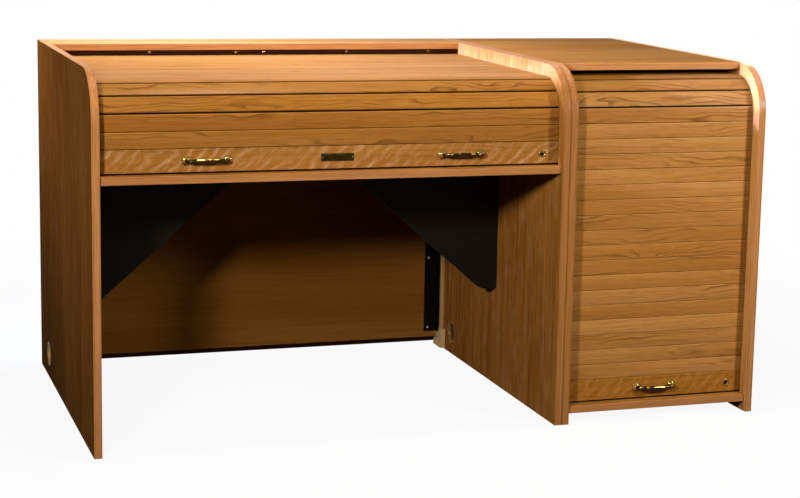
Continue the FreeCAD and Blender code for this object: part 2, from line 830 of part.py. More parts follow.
def bow_path(middle):
    """The middle line of a pull's bar: a post and a bend at each end of a flat arch."""
    half, bend, crown = value("pull_centres / 2"), value("pull_bend"), value("pull_crown")
    post = value("pull_reach") - bend - crown
    arch_radius = ((half - bend) ** 2 + crown ** 2) / (2 * crown)
    turn = math.acos((half - bend) / arch_radius)

    def bent(side, angle):
        """A point of the bend on one side, by the angle that the bar has turned through."""
        across = half - bend + bend * math.cos(angle)
        return middle + Vector(side * across, -post - bend * math.sin(angle), 0)

    feet = [middle + Vector(side * half, 0, 0) for side in (-1, 1)]
    bends = [Part.Arc(*(bent(side, angle) for angle in (0, turn / 2, turn))).toShape() for side in (-1, 1)]
    arch = Part.Arc(bent(-1, turn), middle + Vector(0, -value("pull_reach"), 0), bent(1, turn)).toShape()
    posts = [Part.LineSegment(foot, bent(side, 0)).toShape() for foot, side in zip(feet, (-1, 1))]
    return Part.Wire([posts[0], bends[0], arch, bends[1], posts[1]]), feet


def bow_pull(label, middle, z):
    """A round bar bent into a bow between two rosettes, with blind holes for its screws."""
    path, feet = bow_path(Vector(value(middle), value("curtain_face"), value(z)))
    out, bar_radius = Vector(0, -1, 0), value("pull_bar_radius")
    shape = path.makePipeShell([Part.Wire([Part.Circle(feet[0], out, bar_radius).toShape()])], True, False)
    foot_radius, rim, step = value("pull_foot_radius"), value("pull_foot_rim"), value("pull_foot_step")
    rise = value("pull_foot_height") - rim
    for foot in feet:
        shape = shape.fuse(Part.makeCylinder(foot_radius, rim, foot, out))
        shape = shape.fuse(Part.makeCone(foot_radius - step, bar_radius, rise, foot + out * rim, out))
    for foot in feet:
        hole = Part.makeCylinder(value("pull_screw_radius + screw_fit"), value("pull_screw_bite"), foot, out)
        shape = shape.cut(hole)
    return keep(label, shaped(label, shape.removeSplitter()))


def pull_screws(name, middle, z):
    """The screws that hold a pull from behind the rail, and the holes that they pass through."""
    screws, holes = [], []
    for count, (x, _, height) in enumerate(pull_ends(middle, z)):
        place = (x, "rail_back", height)
        screws.append(screw(f"{name}_{count}", "-y", place, "pull_screw_head_radius", "pull_screw_head",
                            "pull_screw_radius", "rail_thickness + pull_screw_bite"))
        holes.append(rod(f"{name}_hole_{count}", "-y", "pull_screw_radius + screw_fit", "rail_thickness",
                         place))
    return screws, holes


def cylinder_lock(unit, x, z):
    """A lock's barrel, the plug that the key turns and the cam on its tail. Returns the barrel's hole."""
    face = (x, "curtain_face", z)
    back = (x, "rail_back", z)
    shell = rod(f"{unit}_lock_shell", "+y", "lock_barrel_radius", "rail_thickness", face)
    rim = rod(f"{unit}_lock_rim", "-y", "lock_rim_radius", "lock_rim", face)
    bore = rod(f"{unit}_lock_bore", "+y", "lock_plug_radius + lock_play", "rail_thickness + lock_rim",
               (x, "curtain_face - lock_rim", z))
    blank = joined(f"{unit}_barrel_blank", [shell, rim])
    keep(f"{unit}_lock_barrel", cut(f"{unit}_lock_barrel", blank, [bore]))

    plug = rod(f"{unit}_plug_blank", "+y", "lock_plug_radius", "rail_thickness + lock_rim",
               (x, "curtain_face - lock_rim", z))
    tail = rod(f"{unit}_plug_tail", "+y", "cam_bolt_radius", "cam_gap + cam_thickness", back)
    key = block(f"{unit}_key_slot", (f"{x} - lock_key_width / 2", f"{x} + lock_key_width / 2"),
                ("curtain_face - lock_rim", "curtain_face - lock_rim + lock_key_depth"),
                (f"{z} - lock_key_height / 2", f"{z} + lock_key_height / 2"))
    keep(f"{unit}_lock_plug", cut(f"{unit}_lock_plug", joined(f"{unit}_plug_body", [plug, tail]), [key]))

    thick = ("rail_back + cam_gap", "rail_back + cam_gap + cam_thickness")
    arm = block(f"{unit}_cam_arm", (f"{x} - cam_length", x), thick,
                (f"{z} - cam_width / 2", f"{z} + cam_width / 2"))
    eye = rod(f"{unit}_cam_eye", "+y", "cam_width / 2 + lock_tail", "cam_thickness", (x, thick[0], z))
    hole = rod(f"{unit}_cam_hole", "+y", "cam_bolt_radius + screw_fit", "cam_thickness", (x, thick[0], z))
    keep(f"{unit}_lock_cam", cut(f"{unit}_lock_cam", joined(f"{unit}_cam_blank", [arm, eye]), [hole]))
    return rod(f"{unit}_lock_hole", "+y", "lock_barrel_radius + screw_fit", "rail_thickness", face)


def seal(label, span, bottom):
    """The dark strip under a rail."""
    y = ("curtain_face + seal_setback", "curtain_face + seal_setback + seal_thickness")
    return keep(label, block(label, (f"{span[0]} + slat_end_gap", f"{span[1]} - slat_end_gap"), y,
                             (f"{bottom} - seal_height", bottom)))


def name_plate(z):
    """The bare plate with rounded corners, its pins, and the pins' holes in the rail."""
    corners = [("0", "0"), ("plate_width", "0"), ("plate_width", "plate_height"), ("0", "plate_height")]
    place = ("desk_middle - plate_width / 2", "curtain_face", f"{z} - plate_height / 2")
    plate, pad = padded("plate_blank", "XZ_Plane", corners, "plate_thickness", place)
    rounded(plate, pad, "plate_corners", "plate_corner",
            lambda edge: edge.BoundBox.XLength < SAME_SPOT and edge.BoundBox.ZLength < SAME_SPOT)
    pins, holes = [], []
    for count, side in enumerate("-+"):
        x = f"desk_middle {side} (plate_width / 2 - plate_pin_inset)"
        place = (x, "curtain_face - plate_thickness", z)
        pins.append(screw(f"plate_pin_{count}", "+y", place, "plate_pin_head_radius", "plate_pin_head",
                          "plate_pin_radius", "plate_pin_length"))
        holes.append(rod(f"plate_pin_hole_{count}", "+y", "plate_pin_radius + screw_fit", "plate_pin_length",
                         place))
    keep("name_plate", cut("name_plate", plate, holes))
    keep("name_plate_pins", group("name_plate_pins", pins))
    return holes


def make_desk_rail():
    middle = "desk_rail_bottom + rail_height / 2"
    bow_pull("desk_left_pull", "desk_pull_left", middle)
    bow_pull("desk_right_pull", "desk_pull_right", middle)
    left_screws, left_holes = pull_screws("desk_left_pull_screw", "desk_pull_left", middle)
    right_screws, right_holes = pull_screws("desk_right_pull_screw", "desk_pull_right", middle)
    keep("desk_pull_screws", group("desk_pull_screws", left_screws + right_screws))
    holes = left_holes + right_holes + name_plate(middle)
    holes.append(cylinder_lock("desk", "desk_lock_place", "desktop_top + lock_height"))
    rail = rail_blank("desk_rail_blank", DESK_SPAN, "desk_rail_bottom")
    keep("desk_lift_rail", cut("desk_lift_rail", rail, holes))
    seal("desk_rail_seal", DESK_SPAN, "desk_rail_bottom")


def make_cabinet_rail():
    middle = "cabinet_rail_bottom + rail_height / 2"
    bow_pull("cabinet_pull", "cabinet_middle", middle)
    screws, holes = pull_screws("cabinet_pull_screw", "cabinet_middle", middle)
    keep("cabinet_pull_screws", group("cabinet_pull_screws", screws))
    holes.append(cylinder_lock("cabinet", "cabinet_lock_place", "cabinet_floor_top + lock_height"))
    rail = rail_blank("cabinet_rail_blank", CABINET_SPAN, "cabinet_rail_bottom")
    tongue_y = ("front + groove_inset - tongue_thickness / 2", "front + groove_inset + tongue_thickness / 2")
    tongue_z = (f"{middle} - rail_tongue_height / 2", f"{middle} + rail_tongue_height / 2")
    left, right = CABINET_SPAN
    tongue_x = ((f"{left} - tongue_length", f"{left} + slat_end_gap"),
                (f"{right} - slat_end_gap", f"{right} + tongue_length"))
    tongues = [block(f"cabinet_rail_tongue_{count}", x, tongue_y, tongue_z)
               for count, x in enumerate(tongue_x)]
    keep("cabinet_lift_rail", cut("cabinet_lift_rail", joined("cabinet_rail_body", [rail] + tongues), holes))
    seal("cabinet_rail_seal", CABINET_SPAN, "cabinet_rail_bottom")


# Inside the cabinet, and the bolts between the units

def make_shelves():
    x = ("cabinet_left_inner + shelf_play", "cabinet_right_inner - shelf_play")
    for label, top in (("lower_shelf", "lower_shelf_height"), ("upper_shelf", "upper_shelf_height")):
        keep(label, front_eased(label, block(label + "_blank", x, ("shelf_front", "shelf_rear"),
                                             (f"{top} - shelf_thickness", top))))
    pins = []
    for count, (wall, way, y, z) in enumerate(shelf_pin_places()):
        start = f"{wall} + pin_reach" if way == "-x" else f"{wall} - pin_reach"
        pins.append(rod(f"shelf_pin_{count}", way, "pin_radius", "pin_reach + pin_depth", (start, y, z)))
    keep("shelf_pins", group("shelf_pins", pins))


def make_unit_bolts():
    bolts = []
    for count, (y, z) in enumerate(bolt_places()):
        start, end = ("desk_right_inner", y, z), ("cabinet_left_inner", y, z)
        shank = rod(f"unit_bolt_shank_{count}", "+x", "bolt_radius", "2 * panel_thickness", start)
        head = rod(f"unit_bolt_head_{count}", "-x", "bolt_head_radius", "bolt_head", start)
        nut = rod(f"unit_bolt_nut_{count}", "+x", "bolt_head_radius", "bolt_head", end)
        bolts.append(joined(f"unit_bolt_{count}", [shank, head, nut]))
    keep("unit_bolts", group("unit_bolts", bolts))


def write_parts():
    """Checks every object, then writes each finished piece to its own file."""
    doc.recompute()
    failed = [thing.Label for thing in doc.Objects if {"Invalid", "Error"} & set(thing.State)]
    failed += [node.Label for node in nodes if node.Shape.isNull() or not node.Shape.isValid()]
    if failed:
        raise RuntimeError("failed objects: " + ", ".join(failed))
    os.makedirs("parts", exist_ok=True)
    for node in nodes:
        node.Shape.exportStep(f"parts/{node.Label}.step")
    print(len(nodes), "pieces,", sum(len(node.Shape.Solids) for node in nodes), "solids")


make_side_panels()
make_boards()
make_valance()
make_modesty()
make_foot_blocks()
make_gussets()
make_curtains()
make_desk_rail()
make_cabinet_rail()
make_shelves()
make_unit_bolts()
write_parts()
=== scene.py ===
"""Roll-top desk with a side cabinet: the finishes of its pieces, and the studio that they stand in.

Metres, +Z up, front towards -Y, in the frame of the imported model.
"""
import json
import math
from functools import reduce

import bmesh
import bpy
import numpy as np
from bpy.props import FloatProperty, FloatVectorProperty, IntProperty, PointerProperty
from mathutils import Matrix, Vector

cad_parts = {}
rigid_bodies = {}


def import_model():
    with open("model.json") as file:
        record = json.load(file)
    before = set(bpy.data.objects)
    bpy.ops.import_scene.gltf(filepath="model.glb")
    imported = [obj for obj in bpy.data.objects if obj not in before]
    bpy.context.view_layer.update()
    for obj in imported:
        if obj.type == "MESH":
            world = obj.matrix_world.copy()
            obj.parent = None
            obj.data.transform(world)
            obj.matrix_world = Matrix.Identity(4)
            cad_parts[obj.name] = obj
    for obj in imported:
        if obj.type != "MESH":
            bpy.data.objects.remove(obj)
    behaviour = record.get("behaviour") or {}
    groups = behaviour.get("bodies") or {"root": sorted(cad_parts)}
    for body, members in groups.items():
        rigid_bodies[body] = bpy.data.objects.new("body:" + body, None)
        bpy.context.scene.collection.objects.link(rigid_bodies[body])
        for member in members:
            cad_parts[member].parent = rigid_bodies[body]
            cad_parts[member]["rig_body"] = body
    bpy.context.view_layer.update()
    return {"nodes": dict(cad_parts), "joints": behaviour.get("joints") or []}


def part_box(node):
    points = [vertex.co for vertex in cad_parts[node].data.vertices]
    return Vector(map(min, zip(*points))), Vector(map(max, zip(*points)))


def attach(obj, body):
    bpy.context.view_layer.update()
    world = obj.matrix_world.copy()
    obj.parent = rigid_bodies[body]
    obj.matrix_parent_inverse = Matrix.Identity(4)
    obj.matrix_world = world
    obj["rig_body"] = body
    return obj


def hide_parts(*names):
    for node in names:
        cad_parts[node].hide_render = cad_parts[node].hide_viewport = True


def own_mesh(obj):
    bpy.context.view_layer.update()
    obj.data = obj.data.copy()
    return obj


bl_info = {
    "name": "Roll-top desk",
    "version": (1, 0, 0),
    "blender": (4, 5, 0),
    "location": "View3D > Sidebar > Roll-top desk",
    "description": "Finishes a roll-top desk with tambour curtains, brass pulls and a side cabinet",
    "category": "Object",
}

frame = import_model()
NODES = frame["nodes"]
SLOT_OF = {name: node.data.materials[0].name for name, node in NODES.items()}
BODY_OF = {name: node["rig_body"] for name, node in NODES.items()}
SIDE_PANELS = ("desk_left_panel", "desk_right_panel", "cabinet_left_panel", "cabinet_right_panel")
WELD = 1e-5
SMOOTH_UNDER = math.radians(35.0)
SMOOTH_PULL_UNDER = math.radians(50.0)
SMOOTH_PLATE_UNDER = math.radians(25.0)
TO_FRONT = (0.0, -1.0, 0.0)
WHITE = (1.0, 1.0, 1.0, 1.0)


# Node trees, written as expressions

class Socket:
    """One output of a node. Arithmetic on it adds Math nodes."""

    def __init__(self, graph, socket):
        self.graph = graph
        self.socket = socket

    def maths(self, operation, *values):
        return self.graph.add("ShaderNodeMath", {"operation": operation}, values)

    def __add__(self, other):
        return self.maths("ADD", self, other)

    def __radd__(self, other):
        return self.maths("ADD", other, self)

    def __sub__(self, other):
        return self.maths("SUBTRACT", self, other)

    def __rsub__(self, other):
        return self.maths("SUBTRACT", other, self)

    def __mul__(self, other):
        return self.maths("MULTIPLY", self, other)

    def __rmul__(self, other):
        return self.maths("MULTIPLY", other, self)

    def __truediv__(self, other):
        return self.maths("DIVIDE", self, other)

    def __neg__(self):
        return self.maths("MULTIPLY", self, -1.0)

    def __abs__(self):
        return self.maths("ABSOLUTE", self)

    def least(self, other):
        return self.maths("MINIMUM", self, other)

    def most(self, other):
        return self.maths("MAXIMUM", self, other)

    def fraction(self):
        return self.maths("FRACT", self)

    def sine(self):
        return self.maths("SINE", self)

    def over(self, limit):
        return self.maths("GREATER_THAN", self, limit)

    def rise(self, low, high):
        """0 below low, 1 above high and a smooth step between them."""
        return self.graph.add("ShaderNodeMapRange", {"interpolation_type": "SMOOTHSTEP"},
                              {"Value": self, "From Min": low, "From Max": high})

    def fall(self, low, high):
        """1 below low, 0 above high and a smooth step between them."""
        return 1.0 - self.rise(low, high)

    def within(self, low, high):
        """1 between two limits, and 0 outside them."""
        return self.over(low) * (1.0 - self.over(high))


class Graph:
    """A node tree to which nodes are added one at a time."""

    def __init__(self, tree):
        self.tree = tree

    def add(self, kind, settings=None, inputs=(), output=0):
        """Adds a node, its settings first, then its inputs by name or in order. Gives one of its outputs."""
        node = self.tree.nodes.new(kind)
        for name, value in (settings or {}).items():
            if name == "stops":
                self.set_stops(node.color_ramp.elements, value)
            else:
                setattr(node, name, value)
        pairs = inputs.items() if isinstance(inputs, dict) else enumerate(inputs)
        for key, value in pairs:
            self.put(node.inputs[key], value)
        return Socket(self, node.outputs[output])

    def put(self, target, value):
        """Links a socket, or sets its value."""
        if isinstance(value, Socket):
            self.tree.links.new(value.socket, target)
        else:
            target.default_value = value

    @staticmethod
    def set_stops(elements, stops):
        while len(elements) < len(stops):
            elements.new(1.0)
        for element, (place, colour) in zip(elements, stops):
            element.position = place
            element.color = colour

    def vector(self, x, y, z):
        return self.add("ShaderNodeCombineXYZ", None, [x, y, z])

    def parts_of(self, vector):
        separate = self.add("ShaderNodeSeparateXYZ", None, [vector])
        return [Socket(self, output) for output in separate.socket.node.outputs]

    def coordinate(self, name):
        """The three parts of a texture coordinate."""
        return self.parts_of(self.add("ShaderNodeTexCoord", output=name))


class Finish(Graph):
    """A material with one shader, and the patterns that its finish is made of, in the user's colours."""

    def __init__(self, name, colours, **constants):
        self.material = bpy.data.materials.new(name)
        self.material.use_nodes = True
        super().__init__(self.material.node_tree)
        self.colours = colours
        self.shader = self.tree.nodes["Principled BSDF"]
        self.feed(**constants)

    def feed(self, **inputs):
        """Sets or links inputs of the shader, and gives the material."""
        for key, value in inputs.items():
            self.put(self.shader.inputs[key.replace("_", " ")], value)
        return self.material

    def surfaced(self, base, rough, height, depth, **others):
        """Feeds the shader a colour, a roughness and a fine relief, and gives the material."""
        return self.feed(Base_Color=base, Roughness=rough, Normal=self.bump(height, depth), **others)

    def object_place(self):
        return self.add("ShaderNodeTexCoord", output="Object")

    def attribute(self, name, output="Vector"):
        return self.add("ShaderNodeAttribute", {"attribute_name": name}, output=output)

    def scaled(self, vector, scale):
        return self.add("ShaderNodeMapping", None, {"Vector": vector, "Scale": scale})

    def noise(self, vector, scale=1.0, detail=2.0, roughness=0.5, distortion=0.0):
        return self.add("ShaderNodeTexNoise", None, {
            "Vector": vector, "Scale": scale, "Detail": detail, "Roughness": roughness,
            "Distortion": distortion})

    def grain(self, place, along, across, detail=2.0, roughness=0.5):
        """Noise drawn out along the grain, by its waves in a metre along and across it."""
        return self.noise(self.scaled(place, (along, across, across)), 1.0, detail, roughness)

    def own(self, name, gain=1.0):
        """One of the user's colours, brightened or darkened."""
        return (*(part * gain for part in getattr(self.colours, name)), 1.0)

    def mixed(self, share, first, second):
        return self.add("ShaderNodeMix", {"data_type": "RGBA"}, {0: share, 6: first, 7: second}, 2)

    def varied(self, share, name, first, second):
        """One of the user's colours, mixed by a share from one gain to another."""
        return self.mixed(share, self.own(name, first), self.own(name, second))

    def toward(self, base, share, name, gain=1.0):
        """A colour mixed by a share towards one of the user's colours."""
        return self.mixed(share, base, self.own(name, gain))

    def tinted(self, base, share, tint):
        """A colour multiplied by another, by a share."""
        by = tint if isinstance(tint, Socket) else (*tint, 1.0)
        return self.add("ShaderNodeMix", {"data_type": "RGBA", "blend_type": "MULTIPLY"},
                        {0: share, 6: base, 7: by}, 2)

    def ramp(self, value, stops):
        return self.add("ShaderNodeValToRGB", {"stops": stops}, [value])

    def bump(self, height, depth):
        return self.add("ShaderNodeBump", None, {"Height": height, "Distance": depth, "Strength": 1.0})


# Sizes and colours that a user would change

class RollTopSizes(bpy.types.PropertyGroup):
    """Small forms that the finished pieces have."""

    slat_ease: FloatProperty(
        name="Slat ease", description="Rounding of the slats' long edges", default=0.0014, unit="LENGTH")
    canvas_thickness: FloatProperty(
        name="Canvas thickness", description="Thickness of the canvas on the slats' backs",
        default=0.0008, unit="LENGTH")
    canvas_gap: FloatProperty(
        name="Canvas gap", description="Glue line between the canvas and the slats",
        default=0.0001, unit="LENGTH")
    pull_waist: FloatProperty(
        name="Pull waist", description="Radius of a pull's bar beside its feet",
        default=0.0052, unit="LENGTH")
    pull_middle: FloatProperty(
        name="Pull middle", description="Radius of a pull's bar at its middle", default=0.0062, unit="LENGTH")
    rosette_height: FloatProperty(
        name="Rosette height", description="How far a pull's rosettes stand off the rail",
        default=0.0085, unit="LENGTH")
    plate_border: FloatProperty(
        name="Plate border", description="Dark border round the raised field of the plate",
        default=0.0022, unit="LENGTH")
    round_steps: IntProperty(
        name="Round steps", description="Faces round a turned piece", default=40, min=8)


class RollTopFinishes(bpy.types.PropertyGroup):
    """Colours of the woods, metals and other finishes."""

    wood_dark: FloatVectorProperty(
        name="Wood, dark", description="Late wood of the growth rings", subtype="COLOR",
        default=(0.190, 0.062, 0.007))
    wood_middle: FloatVectorProperty(
        name="Wood, middle", description="Main colour of the wood", subtype="COLOR",
        default=(0.360, 0.140, 0.020))
    wood_light: FloatVectorProperty(
        name="Wood, light", description="Early wood and sapwood", subtype="COLOR",
        default=(0.460, 0.200, 0.040))
    pale_wood: FloatVectorProperty(
        name="Pale wood", description="Raw wood of the foot blocks", subtype="COLOR",
        default=(0.780, 0.520, 0.230))
    edge_band: FloatVectorProperty(
        name="Edge band", description="Solid wood along the boards' edges", subtype="COLOR",
        default=(0.450, 0.182, 0.056))
    brass: FloatVectorProperty(
        name="Brass", description="Polished brass of the pulls and locks", subtype="COLOR",
        default=(0.700, 0.395, 0.100))
    black: FloatVectorProperty(
        name="Black", description="Laminate of the gussets", subtype="COLOR", default=(0.013, 0.009, 0.006))
    ripple: FloatVectorProperty(
        name="Ripple", description="Pale figure in the rails and panels", subtype="COLOR",
        default=(0.660, 0.375, 0.175))
    steel: FloatVectorProperty(
        name="Steel", description="Bright zinc of the screws", subtype="COLOR", default=(0.560, 0.540, 0.500))
    plastic: FloatVectorProperty(
        name="Plastic", description="Tan plastic of the grommets", subtype="COLOR",
        default=(0.480, 0.270, 0.105))
    canvas: FloatVectorProperty(
        name="Canvas", description="Dark brown canvas behind the slats", subtype="COLOR",
        default=(0.030, 0.019, 0.011))


class RollTopStage(bpy.types.PropertyGroup):
    """Camera and floor."""

    camera_place: FloatVectorProperty(
        name="Camera place", description="Where the camera stands", subtype="TRANSLATION",
        default=(-1.6949, -5.4266, 1.4719))
    camera_yaw: FloatProperty(
        name="Yaw", description="Turn of the view to the right", subtype="ANGLE",
        default=math.radians(19.254))
    camera_pitch: FloatProperty(
        name="Pitch", description="Tilt of the view down", subtype="ANGLE", default=math.radians(9.758))
    camera_roll: FloatProperty(
        name="Roll", description="Turn of the view about its own axis", subtype="ANGLE",
        default=math.radians(1.293))
    camera_lens: FloatProperty(
        name="Lens", description="Focal length for a sensor 36 mm wide", default=85.68, unit="CAMERA")
    camera_shift: FloatVectorProperty(
        name="Shift", description="Shift of the view across and up, as shares of its width", size=2,
        default=(-0.0625, -0.025))
    floor_reach: FloatProperty(
        name="Floor reach", description="Half the width of the floor", default=60.0, unit="LENGTH")


# Finishes

GRAIN_DEPTH = 0.00008
SAWN_GRAIN_DEPTH = 0.0001
DEPTH_PACE = 3.0
KNOT_SCALE = (2.6, 20.0, 20.0)
# Multipliers on colours. Those for the left front edge, the cabinet's inner strip, the tops' front edges and
# the desk's rear top are painted light; those for the left panel's outer face and the kneehole face are painted
# shade; the rest set tones of the seam edges, backs, cabinet rail and stain, and make the right grommet darker
# and browner.
TINTS = {
    "seam_edges": (0.82, 0.79, 0.68),
    "left_edge_highlight": (1.2, 1.18, 1.26),
    "left_side_shade": (0.71, 0.62, 0.47),
    "knee_side_shade": (0.90, 0.83, 0.74),
    "cabinet_inside_light": (1.38, 1.55, 2.1),
    "top_fronts_highlight": (1.22, 1.28, 1.5),
    "rear_top_glare": (1.15, 1.25, 1.8),
    "backs": (0.74, 0.68, 0.53),
    "cabinet_rail": (0.96, 0.90, 0.56),
    "stain": (0.085, 0.055, 0.03),
    "right_grommet": (0.62, 0.54, 0.40),
}


def wood(finish, place, rings=90.0, swirl=5.0, waves=(2.4, 11.0), knots=0.0, contrast=1.0):
    """Colour, roughness and height of sawn wood. The place is metres along, across and into the grain."""
    across = finish.parts_of(place)[1]
    field = across * rings + finish.grain(place, *waves) * swirl
    if knots:
        cells = finish.add("ShaderNodeTexVoronoi", None, {
            "Vector": finish.scaled(place, KNOT_SCALE), "Scale": 1.0, "Randomness": 1.0}, "Distance")
        chance = finish.parts_of(Socket(finish, cells.socket.node.outputs["Color"]))[0]
        kept = chance.over(1.0 - knots)
        field = field + cells.fall(0.02, 0.21) * kept * 2.6
        core = cells.fall(0.015, 0.06) * kept
    ring = field.fraction()
    line = ring.rise(0.35, 0.92) * ring.fall(0.93, 1.0)
    line = line * line
    fibres = finish.grain(place, 7.0, 420.0, roughness=0.6)
    pores = finish.grain(place, 22.0, 900.0, 1.0).rise(0.62, 0.74)
    streaks = finish.grain(place, 2.8, 170.0, roughness=0.6).rise(0.42, 0.64)
    patches = finish.grain(place, 0.9, 6.0, 1.0).rise(0.3, 0.7)
    strength = finish.grain(place, 2.1, 26.0, 1.0).rise(0.42, 0.72)
    base = finish.mixed(patches, finish.own("wood_middle", 0.93), finish.own("wood_light", 0.95))
    layers = [(line * (0.12 + 0.75 * strength) * contrast, 0.75), (streaks * 0.26, 1.15),
              (fibres.rise(0.4, 0.7) * 0.28, 1.2), (pores * 0.18, 0.6)]
    if knots:
        layers.append((core * 0.75, 0.45))
    for share, gain in layers:
        base = finish.toward(base, share, "wood_dark", gain)
    rough = 0.34 + 0.10 * fibres + 0.06 * line
    height = fibres * 0.6 - pores * 0.8 - line * 0.25
    return base, rough, height


def edge_mask(finish, *axes):
    """1 on faces that look along any of the given axes."""
    normal = finish.coordinate("Normal")
    return reduce(Socket.most, [abs(normal[axis]).rise(0.45, 0.6) for axis in axes])


def banded(finish, base, mask, place):
    """Lays a solid edge band over a veneer where the mask says, with its own streaks."""
    streaks = finish.grain(place, 6.0, 170.0, 3.0, 0.65).rise(0.4, 0.66)
    patches = finish.grain(place, 2.2, 40.0, 1.0).rise(0.3, 0.7)
    band = finish.varied(streaks * 0.65, "edge_band", 1.08, 0.66)
    band = finish.toward(band, patches * 0.3, "wood_middle", 1.05)
    return finish.mixed(mask, base, band)


def lacquer(weight):
    """Constants of a satin lacquer, which is the wood's only gloss."""
    return {"Specular_IOR_Level": 0.0, "Coat_Weight": weight, "Coat_Roughness": 0.3}


# Where the panels' tones, painted light and painted shade begin and end, in metres
ON_FACE = (0.0002, 0.0008)
PAST_BOARD = (0.022, 0.024)
SEAM_SHADE_LINE = (0.0005, 0.0012)
GLUE_BEGINS = (0.0074, 0.0080)
GLUE_ENDS = (0.0086, 0.0092)
KNEE_TOP = (0.66, 0.72)
STRIP_FRONT = (-0.51, -0.505)
STRIP_TOP = (0.85, 0.9)
BRIGHT_TOP = (1.0, 1.012)
BRIGHT_FRONT = (-0.47, -0.43)
BRIGHT_FADE = 0.001


def panel_figure(finish, base, x, y, z):
    """Pale flames and flecks and dark streaks in a panel's veneer."""
    depth = x * 40.0
    flame = finish.noise(finish.vector(z * 11.0, y * 34.0, depth), 1.0, 2.0, 0.55, 0.6).rise(0.46, 0.72)
    flecks = finish.noise(finish.vector(z * 15.0, y * 30.0, depth), 1.0, 1.0, 0.5, 0.3).rise(0.50, 0.80)
    streaks = finish.noise(finish.vector(z * 2.5, y * 60.0, depth + 7.0)).rise(0.52, 0.68)
    base = finish.toward(base, flame * 0.36, "wood_light", 1.08)
    base = finish.toward(base, flecks * 0.40, "ripple", 0.72)
    return finish.toward(base, streaks * 0.42, "wood_dark", 0.9)


def panel_tints_and_painted_light(finish, base, x, y, z, edges):
    """Painted shade on the left panel's outer face and on the kneehole face, painted light on the left front
    edge, on the cabinet's inner strip and on the right panel's top edge, a painted shade line in the seam
    between the two units, and the seam edges' own darker tone.
    """
    left_face, knee_face, seam, inner_face = (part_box(panel)[0].x for panel in SIDE_PANELS)
    fronts, off_left, off_seam = edge_mask(finish, 1), x - left_face, abs(x - seam)
    base = finish.tinted(base, off_seam.fall(*PAST_BOARD) * fronts, TINTS["seam_edges"])
    # Painted shade: a dark line on the edges in the seam between the two units.
    base = finish.toward(base, off_seam.fall(*SEAM_SHADE_LINE) * edges * 0.85, "wood_dark", 0.15)
    # Painted highlight: the left panel's front edge made paler and bluer.
    base = finish.tinted(base, off_left.fall(*PAST_BOARD) * fronts, TINTS["left_edge_highlight"])
    # Painted shade: the left panel's outer face darkened.
    base = finish.tinted(base, off_left.fall(*ON_FACE) * (1.0 - edges), TINTS["left_side_shade"])
    # Painted shade: the kneehole face of the desk's right panel darkened below about 0.7 m.
    base = finish.tinted(base, abs(x - knee_face).fall(*ON_FACE) * z.fall(*KNEE_TOP), TINTS["knee_side_shade"])
    # Painted light: the front strip of the cabinet's right panel's inner face, below its arc, made paler and
    # bluer.
    strip = abs(x - inner_face).fall(*ON_FACE) * y.fall(*STRIP_FRONT) * z.fall(*STRIP_TOP)
    base = finish.tinted(base, strip, TINTS["cabinet_inside_light"])
    # Painted glare: the top edge of the cabinet's right panel made pale, as light reflected from it.
    bright = x.rise(inner_face - BRIGHT_FADE, inner_face) * z.rise(*BRIGHT_TOP) * y.rise(*BRIGHT_FRONT)
    return finish.toward(base, bright * edge_mask(finish, 2) * 0.95, "pale_wood", 1.2)


def panel_veneer(colours):
    """Upright veneer of the side panels, with solid bands and dark glue lines round their edges."""
    finish = Finish("satin_panel_veneer", colours, **lacquer(0.01))
    x, y, z = finish.coordinate("Object")
    base, rough, height = wood(
        finish, finish.vector(z, y, x * DEPTH_PACE), rings=60.0, swirl=4.0, waves=(1.6, 9.0), contrast=0.7)
    base = panel_figure(finish, base, x, y, z)
    edges = edge_mask(finish, 1, 2)
    base = banded(finish, base, edges, finish.vector(z + y, x, y))
    middles = [(low.x + high.x) / 2.0 for low, high in map(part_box, SIDE_PANELS)]
    off_middle = reduce(Socket.least, [abs(x - middle) for middle in middles])
    glue = off_middle.rise(*GLUE_BEGINS) * off_middle.fall(*GLUE_ENDS)
    base = finish.toward(base, glue * edges * 0.55, "wood_dark", 0.7)
    base = panel_tints_and_painted_light(finish, base, x, y, z, edges)
    return finish.surfaced(base, rough, height, GRAIN_DEPTH, Coat_Weight=0.01 + edges * 0.17)


# Where the boards' painted light begins and ends, in metres
TOPS_ONLY = (0.9, 1.0)
UPPER_FACE = (1.01, 1.02)
DESK_END = (0.33, 0.35)


def board_veneer(colours):
    """Veneer of the desktop, tops and floor, grain from side to side, with a band along the front edge, a
    painted highlight on the upper front edges and a painted glare on the desk's rear top.
    """
    finish = Finish("satin_board_veneer", colours, **lacquer(0.06))
    x, y, z = finish.coordinate("Object")
    base, rough, height = wood(
        finish, finish.vector(x, y, z * DEPTH_PACE), rings=50.0, swirl=4.0, contrast=0.7)
    fronts = edge_mask(finish, 1)
    base = banded(finish, base, fronts, finish.vector(x, z, y))
    # Painted highlight: front edges above 0.9 m made paler and bluer.
    base = finish.tinted(base, fronts * z.rise(*TOPS_ONLY), TINTS["top_fronts_highlight"])
    # Painted glare: the upper face of the desk's rear board made paler and bluer.
    rear_top_glare = z.rise(*UPPER_FACE) * x.fall(*DESK_END) * (1.0 - fronts)
    base = finish.tinted(base, rear_top_glare, TINTS["rear_top_glare"])
    return finish.surfaced(base, rough, height, GRAIN_DEPTH)


def back_veneer(colours):
    """Plainer veneer of the modesty panel and the backs, grain from side to side."""
    finish = Finish("plain_back_veneer", colours, **lacquer(0.03))
    x, y, z = finish.coordinate("Object")
    base, rough, height = wood(
        finish, finish.vector(x, z, y * DEPTH_PACE), rings=46.0, swirl=4.0, contrast=0.22)
    base = finish.tinted(base, 1.0, TINTS["backs"])
    return finish.surfaced(base, rough + 0.06, height, GRAIN_DEPTH)


